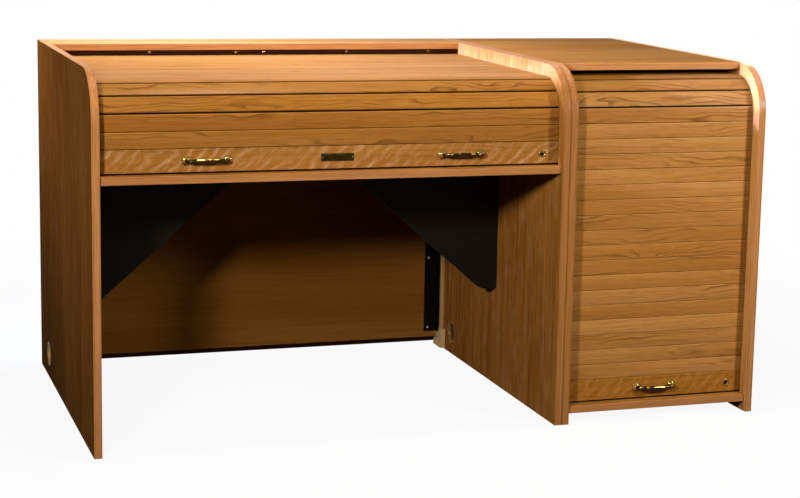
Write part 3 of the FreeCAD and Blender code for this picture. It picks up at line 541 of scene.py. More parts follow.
# The slats are numbered on from these, and each takes its own grain and tone from its number, while groups of
# them take painted light and painted shade by number
FIRST_SLAT = {"desk_slats": 0, "cabinet_front_slats": 40, "cabinet_upper_slats": 80}
PAINTED_SLAT_LIGHT_AND_SHADE = (
    (1, 2, (0.94, 0.88, 0.76)), (4, 39, (1.06, 1.06, 1.28)), (40, 80, (1.12, 1.17, 1.48)),
    (81, 81, (1.02, 1.14, 1.58)), (82, 99, (0.86, 0.90, 1.0)))
BOARD_TINTS = (
    (0.0, (0.78, 0.70, 0.58, 1.0)), (0.5, (1.0, 0.98, 0.92, 1.0)), (1.0, (1.14, 1.12, 1.16, 1.0)))

# How far from a slat's middle its edges lose lacquer to wear and take a painted highlight above and painted
# shade below, and how deep its sides in the joints take painted shade, in metres
WEAR_AND_HIGHLIGHT_EDGE = (0.0192, 0.0216)
UPPER_HALF = (-0.002, 0.002)
LOWER_EDGE = (0.0198, 0.0212)
JOINT_SIDE = (0.0205, 0.0212)
JOINT_DEPTH = (0.0026, 0.0038)


def slat_wood(colours):
    """Solid slats, each cut from another board: no two share their grain."""
    finish = Finish("oiled_slat_wood", colours, **lacquer(0.12))
    x, y, z = finish.parts_of(finish.attribute("slat_place"))
    number = finish.attribute("slat_number", "Fac")
    place = finish.vector(x + number * 3.71, y + number * 0.317, z + number * 1.13)
    base, rough, height = wood(finish, place, rings=70.0, swirl=7.0, waves=(3.4, 15.0), knots=0.2)
    ticks = finish.grain(place, 26.0, 330.0, roughness=0.6).rise(0.54, 0.66)
    base = finish.toward(base, ticks * 0.30, "wood_dark", 0.85)
    # Edge band of each slat: less lacquer there from wear, and a painted highlight on its upper half.
    wear_and_highlight = abs(y).rise(*WEAR_AND_HIGHLIGHT_EDGE)
    base = finish.toward(base, wear_and_highlight * y.rise(*UPPER_HALF) * 0.42, "wood_light", 1.3)
    # Painted shade along each slat's lower edge.
    base = finish.toward(base, (-y).rise(*LOWER_EDGE) * 0.6, "wood_dark", 0.45)
    board = (number * 0.618 + 0.21).fraction()
    base = finish.tinted(base, 0.34, finish.ramp(board, BOARD_TINTS))
    # Painted light and shade by groups of slats: desk slats 1 and 2 and the cabinet's upper slats from 82 on
    # are darker, the rest of the desk's top and the cabinet's front and first upper slats paler and bluer.
    for first, last, tint in PAINTED_SLAT_LIGHT_AND_SHADE:
        base = finish.tinted(base, number.within(first - 0.5, last + 0.5), tint)
    # Painted shade on the slats' sides down in the joints.
    joint = abs(y).rise(*JOINT_SIDE) * abs(z).fall(*JOINT_DEPTH)
    base = finish.toward(base, joint * 0.9, "wood_dark", 0.1)
    return finish.surfaced(base, rough, height, SAWN_GRAIN_DEPTH, Coat_Weight=0.14 - wear_and_highlight * 0.11)


ABOVE_CABINET_RAIL = (0.2, 0.3)


def rail_wood(colours):
    """Figured wood of the lift rails, with pale ripples slanting across the grain."""
    finish = Finish("figured_rail_wood", colours, **lacquer(0.1))
    x, y, z = finish.coordinate("Object")
    base, rough, height = wood(
        finish, finish.vector(x, z, y * DEPTH_PACE), rings=60.0, swirl=4.0, contrast=0.6)
    on_desk = z.rise(*ABOVE_CABINET_RAIL)
    sway = finish.noise(finish.vector(x * 6.0, z * 14.0, y))
    ripple = ((x - z * 1.05) * 150.0 + sway * 17.0).sine() * 0.5 + 0.5
    ripple = ripple * ripple * ripple
    shown = finish.noise(finish.vector(x * 4.3, z * 11.0, y + 4.0)).rise(0.36, 0.62)
    shown = shown * (0.15 + on_desk * 0.85)
    mottle = finish.noise(finish.vector((x - z) * 95.0, (x + z) * 26.0, y), 1.0, 3.0, 0.6).rise(0.48, 0.72)
    base = finish.toward(base, ripple * (0.05 + shown * 0.34) + mottle * 0.26, "ripple")
    base = finish.toward(base, (1.0 - ripple) * shown * 0.16, "wood_dark", 1.2)
    base = finish.tinted(base, 1.0 - on_desk, TINTS["cabinet_rail"])
    return finish.surfaced(base, rough, height, GRAIN_DEPTH)


def stained_wood(colours):
    """Dark brown stain of the valance."""
    finish = Finish("dark_stained_wood", colours, Specular_IOR_Level=0.05)
    x, y, z = finish.coordinate("Object")
    base, rough, height = wood(finish, finish.vector(x, z, y * DEPTH_PACE), rings=46.0, contrast=0.4)
    base = finish.tinted(base, 1.0, TINTS["stain"])
    return finish.surfaced(base, rough + 0.15, height, GRAIN_DEPTH)


def cleat_wood(colours):
    """Plain upright strips in the corners."""
    finish = Finish("plain_cleat_wood", colours, **lacquer(0.03))
    x, y, z = finish.coordinate("Object")
    base, rough, height = wood(finish, finish.vector(z, x, y), rings=60.0, swirl=2.0, contrast=0.5)
    base = finish.toward(base, 0.55, "pale_wood", 0.75)
    return finish.surfaced(base, rough + 0.1, height, SAWN_GRAIN_DEPTH)


def pale_wood(colours):
    """Raw pale wood of the foot blocks."""
    finish = Finish("raw_pale_wood", colours, Specular_IOR_Level=0.1)
    x, y, z = finish.coordinate("Object")
    base, rough, height = wood(finish, finish.vector(y, z, x), rings=60.0, swirl=2.0, contrast=0.4)
    base = finish.toward(base, 0.75, "pale_wood")
    return finish.surfaced(base, rough + 0.15, height, SAWN_GRAIN_DEPTH)


def black_laminate(colours):
    """Black board of the gussets, with the fine orange peel of laminate."""
    finish = Finish("black_laminate_board", colours, Specular_IOR_Level=0.03)
    place = finish.object_place()
    peel = finish.noise(place, 900.0)
    scuffs = finish.noise(finish.scaled(place, (6.0, 6.0, 22.0)), 1.0, 3.0).rise(0.55, 0.8)
    base = finish.varied(scuffs * 0.35, "black", 1.0, 1.9)
    return finish.surfaced(base, 0.46 + peel * 0.12, peel, depth=0.00004)


def black_steel(colours):
    """Powder coat of the corner angles."""
    finish = Finish("black_powder_coat", colours, Specular_IOR_Level=0.05)
    place = finish.object_place()
    grit = finish.noise(place, 1500.0)
    dust = finish.noise(place, 30.0, 3.0).rise(0.5, 0.8)
    base = finish.varied(dust * 0.3, "black", 0.25, 0.6)
    return finish.surfaced(base, 0.38 + grit * 0.2, grit, depth=0.00006)


def steel(colours):
    """Zinc plate of the screws and bolts, faintly clouded."""
    finish = Finish("bright_zinc_plate", colours, Metallic=1.0)
    cloud = finish.noise(finish.object_place(), 140.0, 3.0)
    return finish.feed(Base_Color=finish.varied(cloud, "steel", 0.5, 0.75), Roughness=0.24 + cloud * 0.16)


def polished_brass(colours):
    """Polished brass, darkened overall as a painted reflection of dark surroundings, and a little darker where
    hands have been.
    """
    finish = Finish("polished_brass_bow", colours, Metallic=1.0)
    place = finish.object_place()
    cloud = finish.noise(place, 90.0, 3.0)
    hairs = finish.grain(place, 60.0, 1400.0)
    # Painted reflection: the brass kept at under half its colour, as dark surroundings would show in it; the
    # patches are darker where hands have been.
    base = finish.varied(cloud.rise(0.35, 0.7), "brass", 0.44, 0.26)
    return finish.feed(Base_Color=base, Roughness=0.10 + cloud * 0.08 + hairs * 0.04)


def aged_brass(colours):
    """Brass browned by age and darkened further as a painted reflection of dark surroundings, and brightened
    here and there on its upper side, partly as wear and partly as a painted highlight, as on the pulls' bars.
    """
    finish = Finish("browned_brass", colours, Metallic=1.0)
    place = finish.object_place()
    cloud = finish.noise(place, 70.0, 3.0)
    # Painted reflection: the brass kept nearly black, as dark surroundings would show in it; part of the brown
    # is age.
    base = finish.varied(cloud.rise(0.35, 0.7), "brass", 0.05, 0.025)
    # Paler patches on the upper side: partly wear and partly a painted highlight.
    upper = finish.coordinate("Normal")[2].rise(0.2, 0.55)
    rubbed_and_highlit = upper * finish.noise(place, 62.0, 1.0).rise(0.46, 0.62)
    base = finish.toward(base, rubbed_and_highlit * 0.8, "brass", 1.2)
    return finish.feed(Base_Color=base, Roughness=0.14 + cloud * 0.1)


def dark_plate(colours):
    """Darkened bronze of the plate, brushed from side to side."""
    finish = Finish("dark_brushed_plate", colours, Metallic=0.2, Specular_IOR_Level=0.1)
    place = finish.object_place()
    hairs = finish.grain(place, 40.0, 2200.0)
    cloud = finish.noise(place, 120.0)
    shine = hairs.rise(0.4, 0.7) * 0.5 + cloud * 0.2
    base = finish.mixed(shine, finish.own("black", 0.5), finish.own("brass", 0.08))
    return finish.surfaced(base, 0.34 + hairs * 0.2, hairs, depth=0.00003)


THREAD_PITCH = 0.0016


def canvas(colours):
    """Plain weave of dark threads, laid out on the cloth itself."""
    finish = Finish("plain_weave_canvas", colours, Specular_IOR_Level=0.2, Sheen_Weight=0.15)
    along, across, _ = finish.parts_of(finish.attribute("cloth_place"))
    thread = 2.0 * math.pi / THREAD_PITCH
    weave = (across * thread).sine() * (along * thread).sine()
    slubs = finish.noise(finish.vector(along * 30.0, across * 500.0, 0.0))
    base = finish.varied(slubs, "canvas", 0.86, 1.08)
    base = finish.toward(base, (weave * 0.5 + 0.5) * 0.3, "canvas", 0.62)
    return finish.surfaced(base, 0.86 + slubs * 0.1, weave + slubs, depth=0.00012)


def seal_rubber(colours):
    """Dark rubber strip under a rail."""
    finish = Finish("dark_seal_rubber", colours, Specular_IOR_Level=0.05)
    bloom = finish.noise(finish.object_place(), 60.0, 3.0).rise(0.45, 0.75)
    base = finish.varied(bloom * 0.4, "black", 0.45, 1.1)
    return finish.feed(Base_Color=base, Roughness=0.62 + bloom * 0.15)


BORE_SHADE = (0.003, 0.012)
BETWEEN_GROMMETS = (0.0, 0.1)


def tan_plastic(colours):
    """Moulded tan plastic, matched to the wood, with painted shade deep in the bore that leads into the
    cabinet, and darker and browner on the right grommet.
    """
    finish = Finish("moulded_tan_plastic", colours, Specular_IOR_Level=0.15)
    place = finish.object_place()
    x = finish.parts_of(place)[0]
    deep = (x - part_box("right_cable_grommet")[0].x).rise(*BORE_SHADE)
    grain = finish.noise(place, 1100.0)
    flow = finish.noise(finish.scaled(place, (14.0, 14.0, 40.0)))
    base = finish.varied(flow.rise(0.35, 0.7), "plastic", 1.0, 0.84)
    # Painted shade deeper into the right grommet's bore.
    base = finish.toward(base, deep * 0.8, "wood_dark", 0.3)
    base = finish.tinted(base, x.rise(*BETWEEN_GROMMETS), TINTS["right_grommet"])
    return finish.surfaced(base, 0.42 + grain * 0.12, grain, depth=0.00004)


FINISH_MAKERS = {maker.__name__: maker for maker in (
    panel_veneer, board_veneer, back_veneer, slat_wood, rail_wood, stained_wood, cleat_wood, pale_wood,
    black_laminate, black_steel, steel, polished_brass, aged_brass, dark_plate, canvas, seal_rubber,
    tan_plastic)}
made_finishes = {}


def finish_for(name, context):
    """A material by its name, made once."""
    if name not in made_finishes:
        made_finishes[name] = FINISH_MAKERS[name](context.scene.roll_top_finishes)
    return made_finishes[name]


def paint_nodes(context, names, finish=None):
    """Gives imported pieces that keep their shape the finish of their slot, or another."""
    for name in names:
        NODES[name].data.materials[0] = finish_for(finish or SLOT_OF[name], context)


# Shapes

def islands(node):
    """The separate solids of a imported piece, as arrays of their corners."""
    shape = bmesh.new()
    shape.from_mesh(NODES[node].data)
    bmesh.ops.remove_doubles(shape, verts=shape.verts, dist=WELD)
    found, seen = [], set()
    for start in shape.verts:
        if start in seen:
            continue
        seen.add(start)
        waiting, corners = [start], []
        while waiting:
            corner = waiting.pop()
            corners.append(corner.co[:])
            others = [edge.other_vert(corner) for edge in corner.link_edges]
            fresh = [other for other in others if other not in seen]
            seen.update(fresh)
            waiting.extend(fresh)
        found.append(np.array(corners))
    shape.free()
    return found


def turned(profile, steps, loop=False):
    """Corners and faces of a profile of (radius, height) turned about Z. A loop is a closed ring."""
    corners, rings = [], []
    for radius, height in profile:
        count = steps if radius > 0 else 1
        rings.append(list(range(len(corners), len(corners) + count)))
        for step in range(count):
            angle = 2.0 * math.pi * step / steps
            corners.append((radius * math.cos(angle), radius * math.sin(angle), height))
    faces = []
    pairs = list(zip(rings, rings[1:]))
    if loop:
        pairs.append((rings[-1], rings[0]))
    for low, high in pairs:
        for step in range(steps):
            after = (step + 1) % steps
            face = [low[step % len(low)], low[after % len(low)],
                    high[after % len(high)], high[step % len(high)]]
            faces.append(list(dict.fromkeys(face)))
    return corners, faces


def facing(direction, place):
    """The turn and place that bring a turned piece's Z axis to a direction."""
    return Matrix.Translation(place) @ Vector(direction).to_track_quat("Z", "Y").to_matrix().to_4x4()


class Form:
    """A mesh put together from corners and faces."""

    def __init__(self):
        self.corners = []
        self.faces = []

    def join(self, made, matrix=Matrix.Identity(4)):
        corners, faces = made
        start = len(self.corners)
        self.corners.extend(matrix @ Vector(corner) for corner in corners)
        self.faces.extend([index + start for index in face] for face in faces)
        return self

    def mesh(self, name, smooth_under=SMOOTH_UNDER):
        mesh = bpy.data.meshes.new(name)
        mesh.from_pydata(self.corners, [], self.faces)
        shape = bmesh.new()
        shape.from_mesh(mesh)
        bmesh.ops.remove_doubles(shape, verts=shape.verts, dist=WELD)
        bmesh.ops.recalc_face_normals(shape, faces=shape.faces)
        shape.to_mesh(mesh)
        shape.free()
        return soften(mesh, smooth_under)


def soften(mesh, smooth_under=SMOOTH_UNDER):
    """Shades a mesh smooth, but for its sharp edges."""
    mesh.polygons.foreach_set("use_smooth", [True] * len(mesh.polygons))
    mesh.set_sharp_from_angle(angle=smooth_under)
    return mesh


def linked(name, data):
    """A new object at the origin."""
    thing = bpy.data.objects.new(name, data)
    bpy.context.scene.collection.objects.link(thing)
    return thing


def plain_mesh(thing):
    """The mesh that an object's modifiers make."""
    return bpy.data.meshes.new_from_object(thing.evaluated_get(bpy.context.evaluated_depsgraph_get()))


def stand_in(context, name, mesh, nodes, slot=None, body=None, finish=None):
    """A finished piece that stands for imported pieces, on their body and in their slot's finish or another."""
    slot = slot or SLOT_OF[nodes[0]]
    mesh.materials.clear()
    mesh.materials.append(finish_for(finish or slot, context))
    piece = linked(name, mesh)
    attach(piece, body or BODY_OF[nodes[0]])
    if nodes:
        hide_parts(*nodes)
    return piece


def carved(mesh, cutter):
    """A mesh less a cutter."""
    base, tool = linked("carving", mesh), linked("carving_tool", cutter)
    modifier = base.modifiers.new("cut", "BOOLEAN")
    modifier.object = tool
    modifier.operation = "DIFFERENCE"
    modifier.solver = "EXACT"
    result = plain_mesh(base)
    bpy.data.objects.remove(base)
    bpy.data.objects.remove(tool)
    return result


def bar(low, high):
    """Corners and faces of a straight-sided bar."""
    corners = [(x, y, z) for z in (low[2], high[2]) for y in (low[1], high[1]) for x in (low[0], high[0])]
    return corners, [[0, 2, 3, 1], [4, 5, 7, 6], [0, 1, 5, 4], [2, 6, 7, 3], [0, 4, 6, 2], [1, 3, 7, 5]]


def grid_faces(rows, count, closed=True):
    """Faces between rows of corners. Closed rows run round."""
    return [[row * count + step, row * count + (step + 1) % count,
             (row + 1) * count + (step + 1) % count, (row + 1) * count + step]
            for row in range(rows - 1) for step in range(count if closed else count - 1)]


# Repeated pieces, set on points by node trees

def new_tree(name, sizes):
    """A geometry tree with a geometry input, one input for each size, and the sockets of its inputs."""
    tree = bpy.data.node_groups.new(name, "GeometryNodeTree")
    tree.interface.new_socket("Geometry", in_out="INPUT", socket_type="NodeSocketGeometry")
    for size, kind in sizes.items():
        tree.interface.new_socket(size, in_out="INPUT", socket_type=kind)
    tree.interface.new_socket("Geometry", in_out="OUTPUT", socket_type="NodeSocketGeometry")
    graph = Graph(tree)
    start = tree.nodes.new("NodeGroupInput")
    return graph, {output.name: Socket(graph, output) for output in start.outputs if output.name}


def end_tree(graph, geometry, material):
    """Makes instances real, gives them their material and closes the tree."""
    real = graph.add("GeometryNodeRealizeInstances", None, [geometry])
    painted = graph.add("GeometryNodeSetMaterial", None, {"Geometry": real, "Material": material})
    finish = graph.tree.nodes.new("NodeGroupOutput")
    graph.put(finish.inputs[0], painted)
    return graph.tree


def set_on_points(graph, points, piece):
    """Instances of a piece on points, each turned by its point's own angles."""
    turn = graph.add("GeometryNodeInputNamedAttribute", {"data_type": "FLOAT_VECTOR"}, {"Name": "turn"})
    return graph.add("GeometryNodeInstanceOnPoints", None, {
        "Points": points, "Instance": piece, "Rotation": turn})


def slat_tree():
    """Slats with eased edges and a tongue at each end, numbered, and marked with their own coordinates."""
    lengths = ("Length", "Width", "Thickness", "Ease", "Tongue Length", "Tongue Width", "Tongue Thickness")
    graph, sizes = new_tree("tambour_slats", {
        **dict.fromkeys(lengths, "NodeSocketFloat"), "Material": "NodeSocketMaterial"})
    section = graph.add("GeometryNodeCurvePrimitiveQuadrilateral", {"mode": "RECTANGLE"}, {
        "Width": sizes["Width"], "Height": sizes["Thickness"]})
    section = graph.add("GeometryNodeFilletCurve", {"mode": "POLY"}, {
        "Curve": section, "Count": EASE_STEPS, "Radius": sizes["Ease"]})
    half = sizes["Length"] / 2.0
    line = graph.add("GeometryNodeCurvePrimitiveLine", None, {
        "Start": graph.vector(-half, 0.0, 0.0), "End": graph.vector(half, 0.0, 0.0)})
    board = graph.add("GeometryNodeCurveToMesh", None, {
        "Curve": line, "Profile Curve": section, "Fill Caps": True})
    tongue = graph.add("GeometryNodeMeshCube", None, {"Size": graph.vector(
        sizes["Tongue Length"], sizes["Tongue Width"], sizes["Tongue Thickness"])})
    reach = half + sizes["Tongue Length"] / 2.0
    join = graph.tree.nodes.new("GeometryNodeJoinGeometry")
    graph.put(join.inputs[0], board)
    for side in (-1.0, 1.0):
        graph.put(join.inputs[0], graph.add("GeometryNodeTransform", None, {
            "Geometry": tongue, "Translation": graph.vector(reach * side, 0.0, 0.0)}))
    marked = graph.add("GeometryNodeStoreNamedAttribute", {"data_type": "FLOAT_VECTOR", "domain": "POINT"}, {
        "Geometry": Socket(graph, join.outputs[0]), "Name": "slat_place",
        "Value": graph.add("GeometryNodeInputPosition")})
    return end_tree(graph, set_on_points(graph, sizes["Geometry"], marked), sizes["Material"])


def fastener_tree():
    """Copies of one fastener, one on each point."""
    graph, sizes = new_tree("fasteners", {"Fastener": "NodeSocketObject", "Material": "NodeSocketMaterial"})
    fastener = graph.add("GeometryNodeObjectInfo", {"transform_space": "ORIGINAL"}, [sizes["Fastener"]],
                         "Geometry")
    return end_tree(graph, set_on_points(graph, sizes["Geometry"], fastener), sizes["Material"])


def grown(name, tree, places, turns, inputs, numbers=None):
    """The plain mesh that a tree makes on a set of places."""
    mesh = bpy.data.meshes.new(name)
    mesh.from_pydata([tuple(place) for place in places], [], [])
    angles = mesh.attributes.new("turn", "FLOAT_VECTOR", "POINT")
    angles.data.foreach_set("vector", [angle for turn in turns for angle in turn])
    if numbers is not None:
        order = mesh.attributes.new("slat_number", "FLOAT", "POINT")
        order.data.foreach_set("value", [float(number) for number in numbers])
    thing = linked(name + "_points", mesh)
    modifier = thing.modifiers.new(name, "NODES")
    modifier.node_group = tree
    for item in tree.interface.items_tree:
        if item.in_out == "INPUT" and item.name in inputs:
            modifier[item.identifier] = inputs[item.name]
    made = plain_mesh(thing)
    thing.modifiers.remove(modifier)
    bpy.data.objects.remove(thing)
    return soften(made)


# Tambour curtains

class Slat:
    """One slat of a packed curtain: its middle, and the way up the curtain there."""

    def __init__(self, corners):
        section = corners[:, 1:]
        middle = (section.max(0) + section.min(0)) / 2.0
        spread = np.linalg.eigh(np.cov((section - middle).T))[1][:, -1]
        along = spread if spread.sum() > 0 else -spread
        out = np.array([-along[1], along[0]])
        runs, depths = section @ along, section @ out
        self.along, self.out = along, out
        self.middle = along * (runs.max() + runs.min()) / 2.0 + out * (depths.max() + depths.min()) / 2.0
        self.width = runs.max() - runs.min()
        self.thickness = depths.max() - depths.min()
        self.x = (corners[:, 0].min(), corners[:, 0].max())
        self.turn = math.atan2(along[1], along[0])

    def back_corner(self, end, gap):
        """The lower (-1) or upper (+1) corner of its back."""
        return self.middle + self.along * (end * self.width / 2.0) - self.out * (self.thickness / 2.0 + gap)


def curtain(node):
    """The slats of a packed curtain, from the rail upwards."""
    return sorted((Slat(corners) for corners in islands(node)), key=lambda slat: slat.middle.sum())


TONGUE_LENGTH = 0.009
TONGUE_WIDTH = 0.024
TONGUE_THICKNESS = 0.005
EASE_STEPS = 3
CLOTH_COLUMNS = 25


def make_slats(context, node):
    """Replaces a packed curtain's slats."""
    slats = curtain(node)
    left, right = slats[0].x
    places = [Vector(((left + right) / 2.0, *slat.middle)) for slat in slats]
    turns = [(slat.turn, 0.0, 0.0) for slat in slats]
    first = FIRST_SLAT[node]
    made = grown(node + "_form", slat_tree(), places, turns, {
        "Length": right - left - 2.0 * TONGUE_LENGTH, "Width": slats[0].width,
        "Thickness": slats[0].thickness, "Ease": context.scene.roll_top_sizes.slat_ease,
        "Tongue Length": TONGUE_LENGTH, "Tongue Width": TONGUE_WIDTH, "Tongue Thickness": TONGUE_THICKNESS,
        "Material": finish_for("slat_wood", context)}, range(first, first + len(slats)))
    return stand_in(context, node + "_wood", made, [node])


def make_canvas(context, node, slats_node):
    """Replaces a packed curtain's canvas with a sheet of cloth on the slats' backs."""
    sizes = context.scene.roll_top_sizes
    low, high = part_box(node)
    line = [slat.back_corner(end, sizes.canvas_gap) for slat in curtain(slats_node) for end in (-1, 1)]
    if low.z < line[0][1] - WELD:
        line.insert(0, np.array([line[0][0], low.z]))
    runs = np.concatenate([[0.0], np.cumsum([np.linalg.norm(b - a) for a, b in zip(line, line[1:])])])
    columns = np.linspace(low.x, high.x, CLOTH_COLUMNS)
    corners = [(x, y, z) for y, z in line for x in columns]
    mesh = bpy.data.meshes.new(node + "_cloth")
    mesh.from_pydata(corners, [], grid_faces(len(line), len(columns), closed=False))
    cloth = mesh.attributes.new("cloth_place", "FLOAT_VECTOR", "POINT")
    cloth.data.foreach_set("vector", [part for run in runs for x in columns for part in (run, x, 0.0)])
    piece = stand_in(context, node + "_cloth", mesh, [node])
    thick = piece.modifiers.new("cloth", "SOLIDIFY")
    thick.thickness = sizes.canvas_thickness
    thick.offset = 1.0
    return piece


# Brass and small fittings

BOW_STEPS = 72
BOW_SIDES = 20
BOW_POWER = 0.5
ROSETTE_SHARES = (
    (0.0, 0.0), (1.0, 0.0), (1.0, 0.14), (0.95, 0.22), (0.84, 0.26), (0.79, 0.36), (0.8, 0.44), (0.73, 0.56),
    (0.58, 0.62), (0.5, 0.70), (0.47, 0.82), (0.5, 0.92), (0.46, 0.98), (0.38, 1.0), (0.0, 1.0))


def bow(context, low, high):
    """A bowed bar, and the two rosettes that it stands on, inside a packed pull's box."""
    sizes = context.scene.roll_top_sizes
    foot = (high.z - low.z) / 2.0
    middle = Vector(((low.x + high.x) / 2.0, high.y, (low.z + high.z) / 2.0))
    half = (high.x - low.x) / 2.0 - foot
    reach = high.y - low.y - sizes.pull_middle
    path = []
    for step in range(BOW_STEPS + 1):
        angle = math.pi * step / BOW_STEPS
        side = math.copysign(abs(math.cos(angle)) ** BOW_POWER, math.cos(angle))
        path.append(middle + Vector((-half * side, -reach * math.sin(angle) ** BOW_POWER, 0.0)))
    corners = []
    for step, spot in enumerate(path):
        way = path[min(step + 1, BOW_STEPS)] - path[max(step - 1, 0)]
        across = Vector((0.0, 0.0, 1.0)).cross(way).normalized()
        swell = math.sin(math.pi * step / BOW_STEPS) ** 2
        radius = sizes.pull_waist + (sizes.pull_middle - sizes.pull_waist) * swell
        for turn in (2.0 * math.pi * side / BOW_SIDES for side in range(BOW_SIDES)):
            up = Vector((0.0, 0.0, radius * math.sin(turn)))
            corners.append(spot + across * (radius * math.cos(turn)) + up)
    bent = Form().join((corners, grid_faces(BOW_STEPS + 1, BOW_SIDES)))
    feet = Form()
    profile = [(radius * foot, height * sizes.rosette_height) for radius, height in ROSETTE_SHARES]
    for side in (-half, half):
        feet.join(turned(profile, sizes.round_steps), facing(TO_FRONT, middle + Vector((side, 0.0, 0.0))))
    return bent, feet


def make_pull(context, node):
    """Replaces a packed pull with its bar and its rosettes."""
    bent, feet = bow(context, *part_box(node))
    stand_in(context, node + "_bow", bent.mesh(node + "_bow", SMOOTH_PULL_UNDER), [node], finish="aged_brass")
    stand_in(context, node + "_rosettes", feet.mesh(node + "_rosettes", SMOOTH_PULL_UNDER), [node])


LOCK_CLEARANCE = 0.0001
LOCK_SHOULDER = 0.0016
LOCK_SHELL_SHARE = 0.86

# Shares of the rim's radius, and metres below the face; then metres outside the bore and below the face
LOCK_RIM = ((1.0, 0.0015), (1.0, 0.0007), (0.95, 0.0002), (0.86, 0.0), (0.68, 0.0001))
LOCK_DISH = ((0.0006, 0.0009), (LOCK_CLEARANCE, 0.0012))

PLUG_TAIL_SHARE = 0.83
PLUG_FACE_SHARE = 0.9
PLUG_TAIL = 0.0028
PLUG_SHOULDER = 0.0029
PLUG_SINK = 0.001
PLUG_EASE = 0.0014
KEY_SLOT_HALF_WIDTH = 0.0008
KEY_SLOT_HALF_HEIGHT = 0.004
KEY_SLOT_DEPTH = 0.006
KEY_SLOT_OVERRUN = 0.001


def lock_ring(context, unit, bore):
    """Replaces a packed lock's barrel with a ring that has a rounded rim and a dished face."""
    low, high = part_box(unit + "_lock_barrel")
    middle = (low + high) / 2.0
    rim, depth = (high.x - low.x) / 2.0, high.y - low.y
    shell = rim * LOCK_SHELL_SHARE
    ring = [(bore + LOCK_CLEARANCE, 0.0), (shell, 0.0), (shell, depth - LOCK_SHOULDER),
            *((rim * share, depth - below) for share, below in LOCK_RIM),
            *((bore + past, depth - below) for past, below in LOCK_DISH)]
    form = Form().join(turned(ring, context.scene.roll_top_sizes.round_steps, loop=True),
                       facing(TO_FRONT, Vector((middle.x, high.y, middle.z))))
    stand_in(context, unit + "_lock_ring", form.mesh(unit + "_lock_ring"), [unit + "_lock_barrel"])


def make_lock(context, unit):
    """Replaces a packed lock's barrel, and its plug with one that has a key slot."""
    low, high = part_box(unit + "_lock_plug")
    bore, length = (high.x - low.x) / 2.0, high.y - low.y
    lock_ring(context, unit, bore)
    middle = sum(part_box(unit + "_lock_barrel"), Vector()) / 2.0
    face = length - PLUG_SINK
    core = [(0.0, 0.0), (bore * PLUG_TAIL_SHARE, 0.0), (bore * PLUG_TAIL_SHARE, PLUG_TAIL),
            (bore, PLUG_SHOULDER), (bore, length - PLUG_EASE), (bore * PLUG_FACE_SHARE, face), (0.0, face)]
    plug = Form().join(turned(core, context.scene.roll_top_sizes.round_steps),
                       facing(TO_FRONT, Vector((middle.x, high.y, middle.z))))
    slot_low = Vector((
        middle.x - KEY_SLOT_HALF_WIDTH, low.y - KEY_SLOT_OVERRUN, middle.z - KEY_SLOT_HALF_HEIGHT))
    slot_high = Vector((
        middle.x + KEY_SLOT_HALF_WIDTH, low.y + KEY_SLOT_DEPTH, middle.z + KEY_SLOT_HALF_HEIGHT))
    slot = Form().join(bar(slot_low, slot_high))
    key = soften(carved(plug.mesh("plug_blank"), slot.mesh("key_tool")))
    stand_in(context, unit + "_lock_core", key, [unit + "_lock_plug"], finish="aged_brass")


PLAQUE_STEPS = 6


def plaque(low, high, corner, ease):
    """Corners and faces of an upright plate that faces -Y, with round corners and an eased front edge."""
    middle, half = (low + high) / 2.0, (high - low) / 2.0
    corners = []
    for y, inset in ((high.y, 0.0), (low.y + ease, 0.0), (low.y, ease)):
        for turn, (right, up) in enumerate(((1, 1), (-1, 1), (-1, -1), (1, -1))):
            for step in range(PLAQUE_STEPS + 1):
                angle = math.pi / 2.0 * (turn + step / PLAQUE_STEPS)
                x = middle.x + right * (half.x - corner) + (corner - inset) * math.cos(angle)
                z = middle.z + up * (half.z - corner) + (corner - inset) * math.sin(angle)
                corners.append((x, y, z))
    count = len(corners) // 3
    return corners, grid_faces(3, count) + [list(range(count)), list(range(2 * count, 3 * count))]


PLATE_CORNER = 0.0025
PLATE_EASE = 0.0003
FIELD_CORNER = 0.0012
FIELD_EASE = 0.0002
FIELD_RISE = 0.0005
FIELD_SINK = 0.0001
FIELD_END_SHARE = 3.0


def make_plate(context):
    """The bare plate: a dark ground with round corners, and a plain raised field of the pulls' dark brass on
    it.
    """
    border = context.scene.roll_top_sizes.plate_border
    low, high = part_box("name_plate")
    ground = Form().join(plaque(low, high, PLATE_CORNER, PLATE_EASE))
    stand_in(context, "name_plate_ground", ground.mesh("name_plate_ground", SMOOTH_PLATE_UNDER),
             ["name_plate"])
    ends = FIELD_END_SHARE * border
    field_low = Vector((low.x + ends, low.y - FIELD_RISE, low.z + border))
    field_high = Vector((high.x - ends, low.y + FIELD_SINK, high.z - border))
    field = Form().join(plaque(field_low, field_high, FIELD_CORNER, FIELD_EASE))
    stand_in(context, "name_plate_field", field.mesh("name_plate_field", SMOOTH_PLATE_UNDER), [],
             slot="polished_brass", body="roll_top", finish="aged_brass")


GROMMET_FLANGE = 0.0060
GROMMET_BORE_INSET = 0.0083
GROMMET_LIP = 0.003

# Metres inside the rim, then outside the bore, each with a share of the lip's height below its face
LIP_OUTSIDE = ((0.0, 1.0), (0.0, 0.5), (0.0008, 0.15), (0.002, 0.0))
LIP_INSIDE = ((0.0025, 0.0), (0.0008, 0.2), (0.0, 0.7))


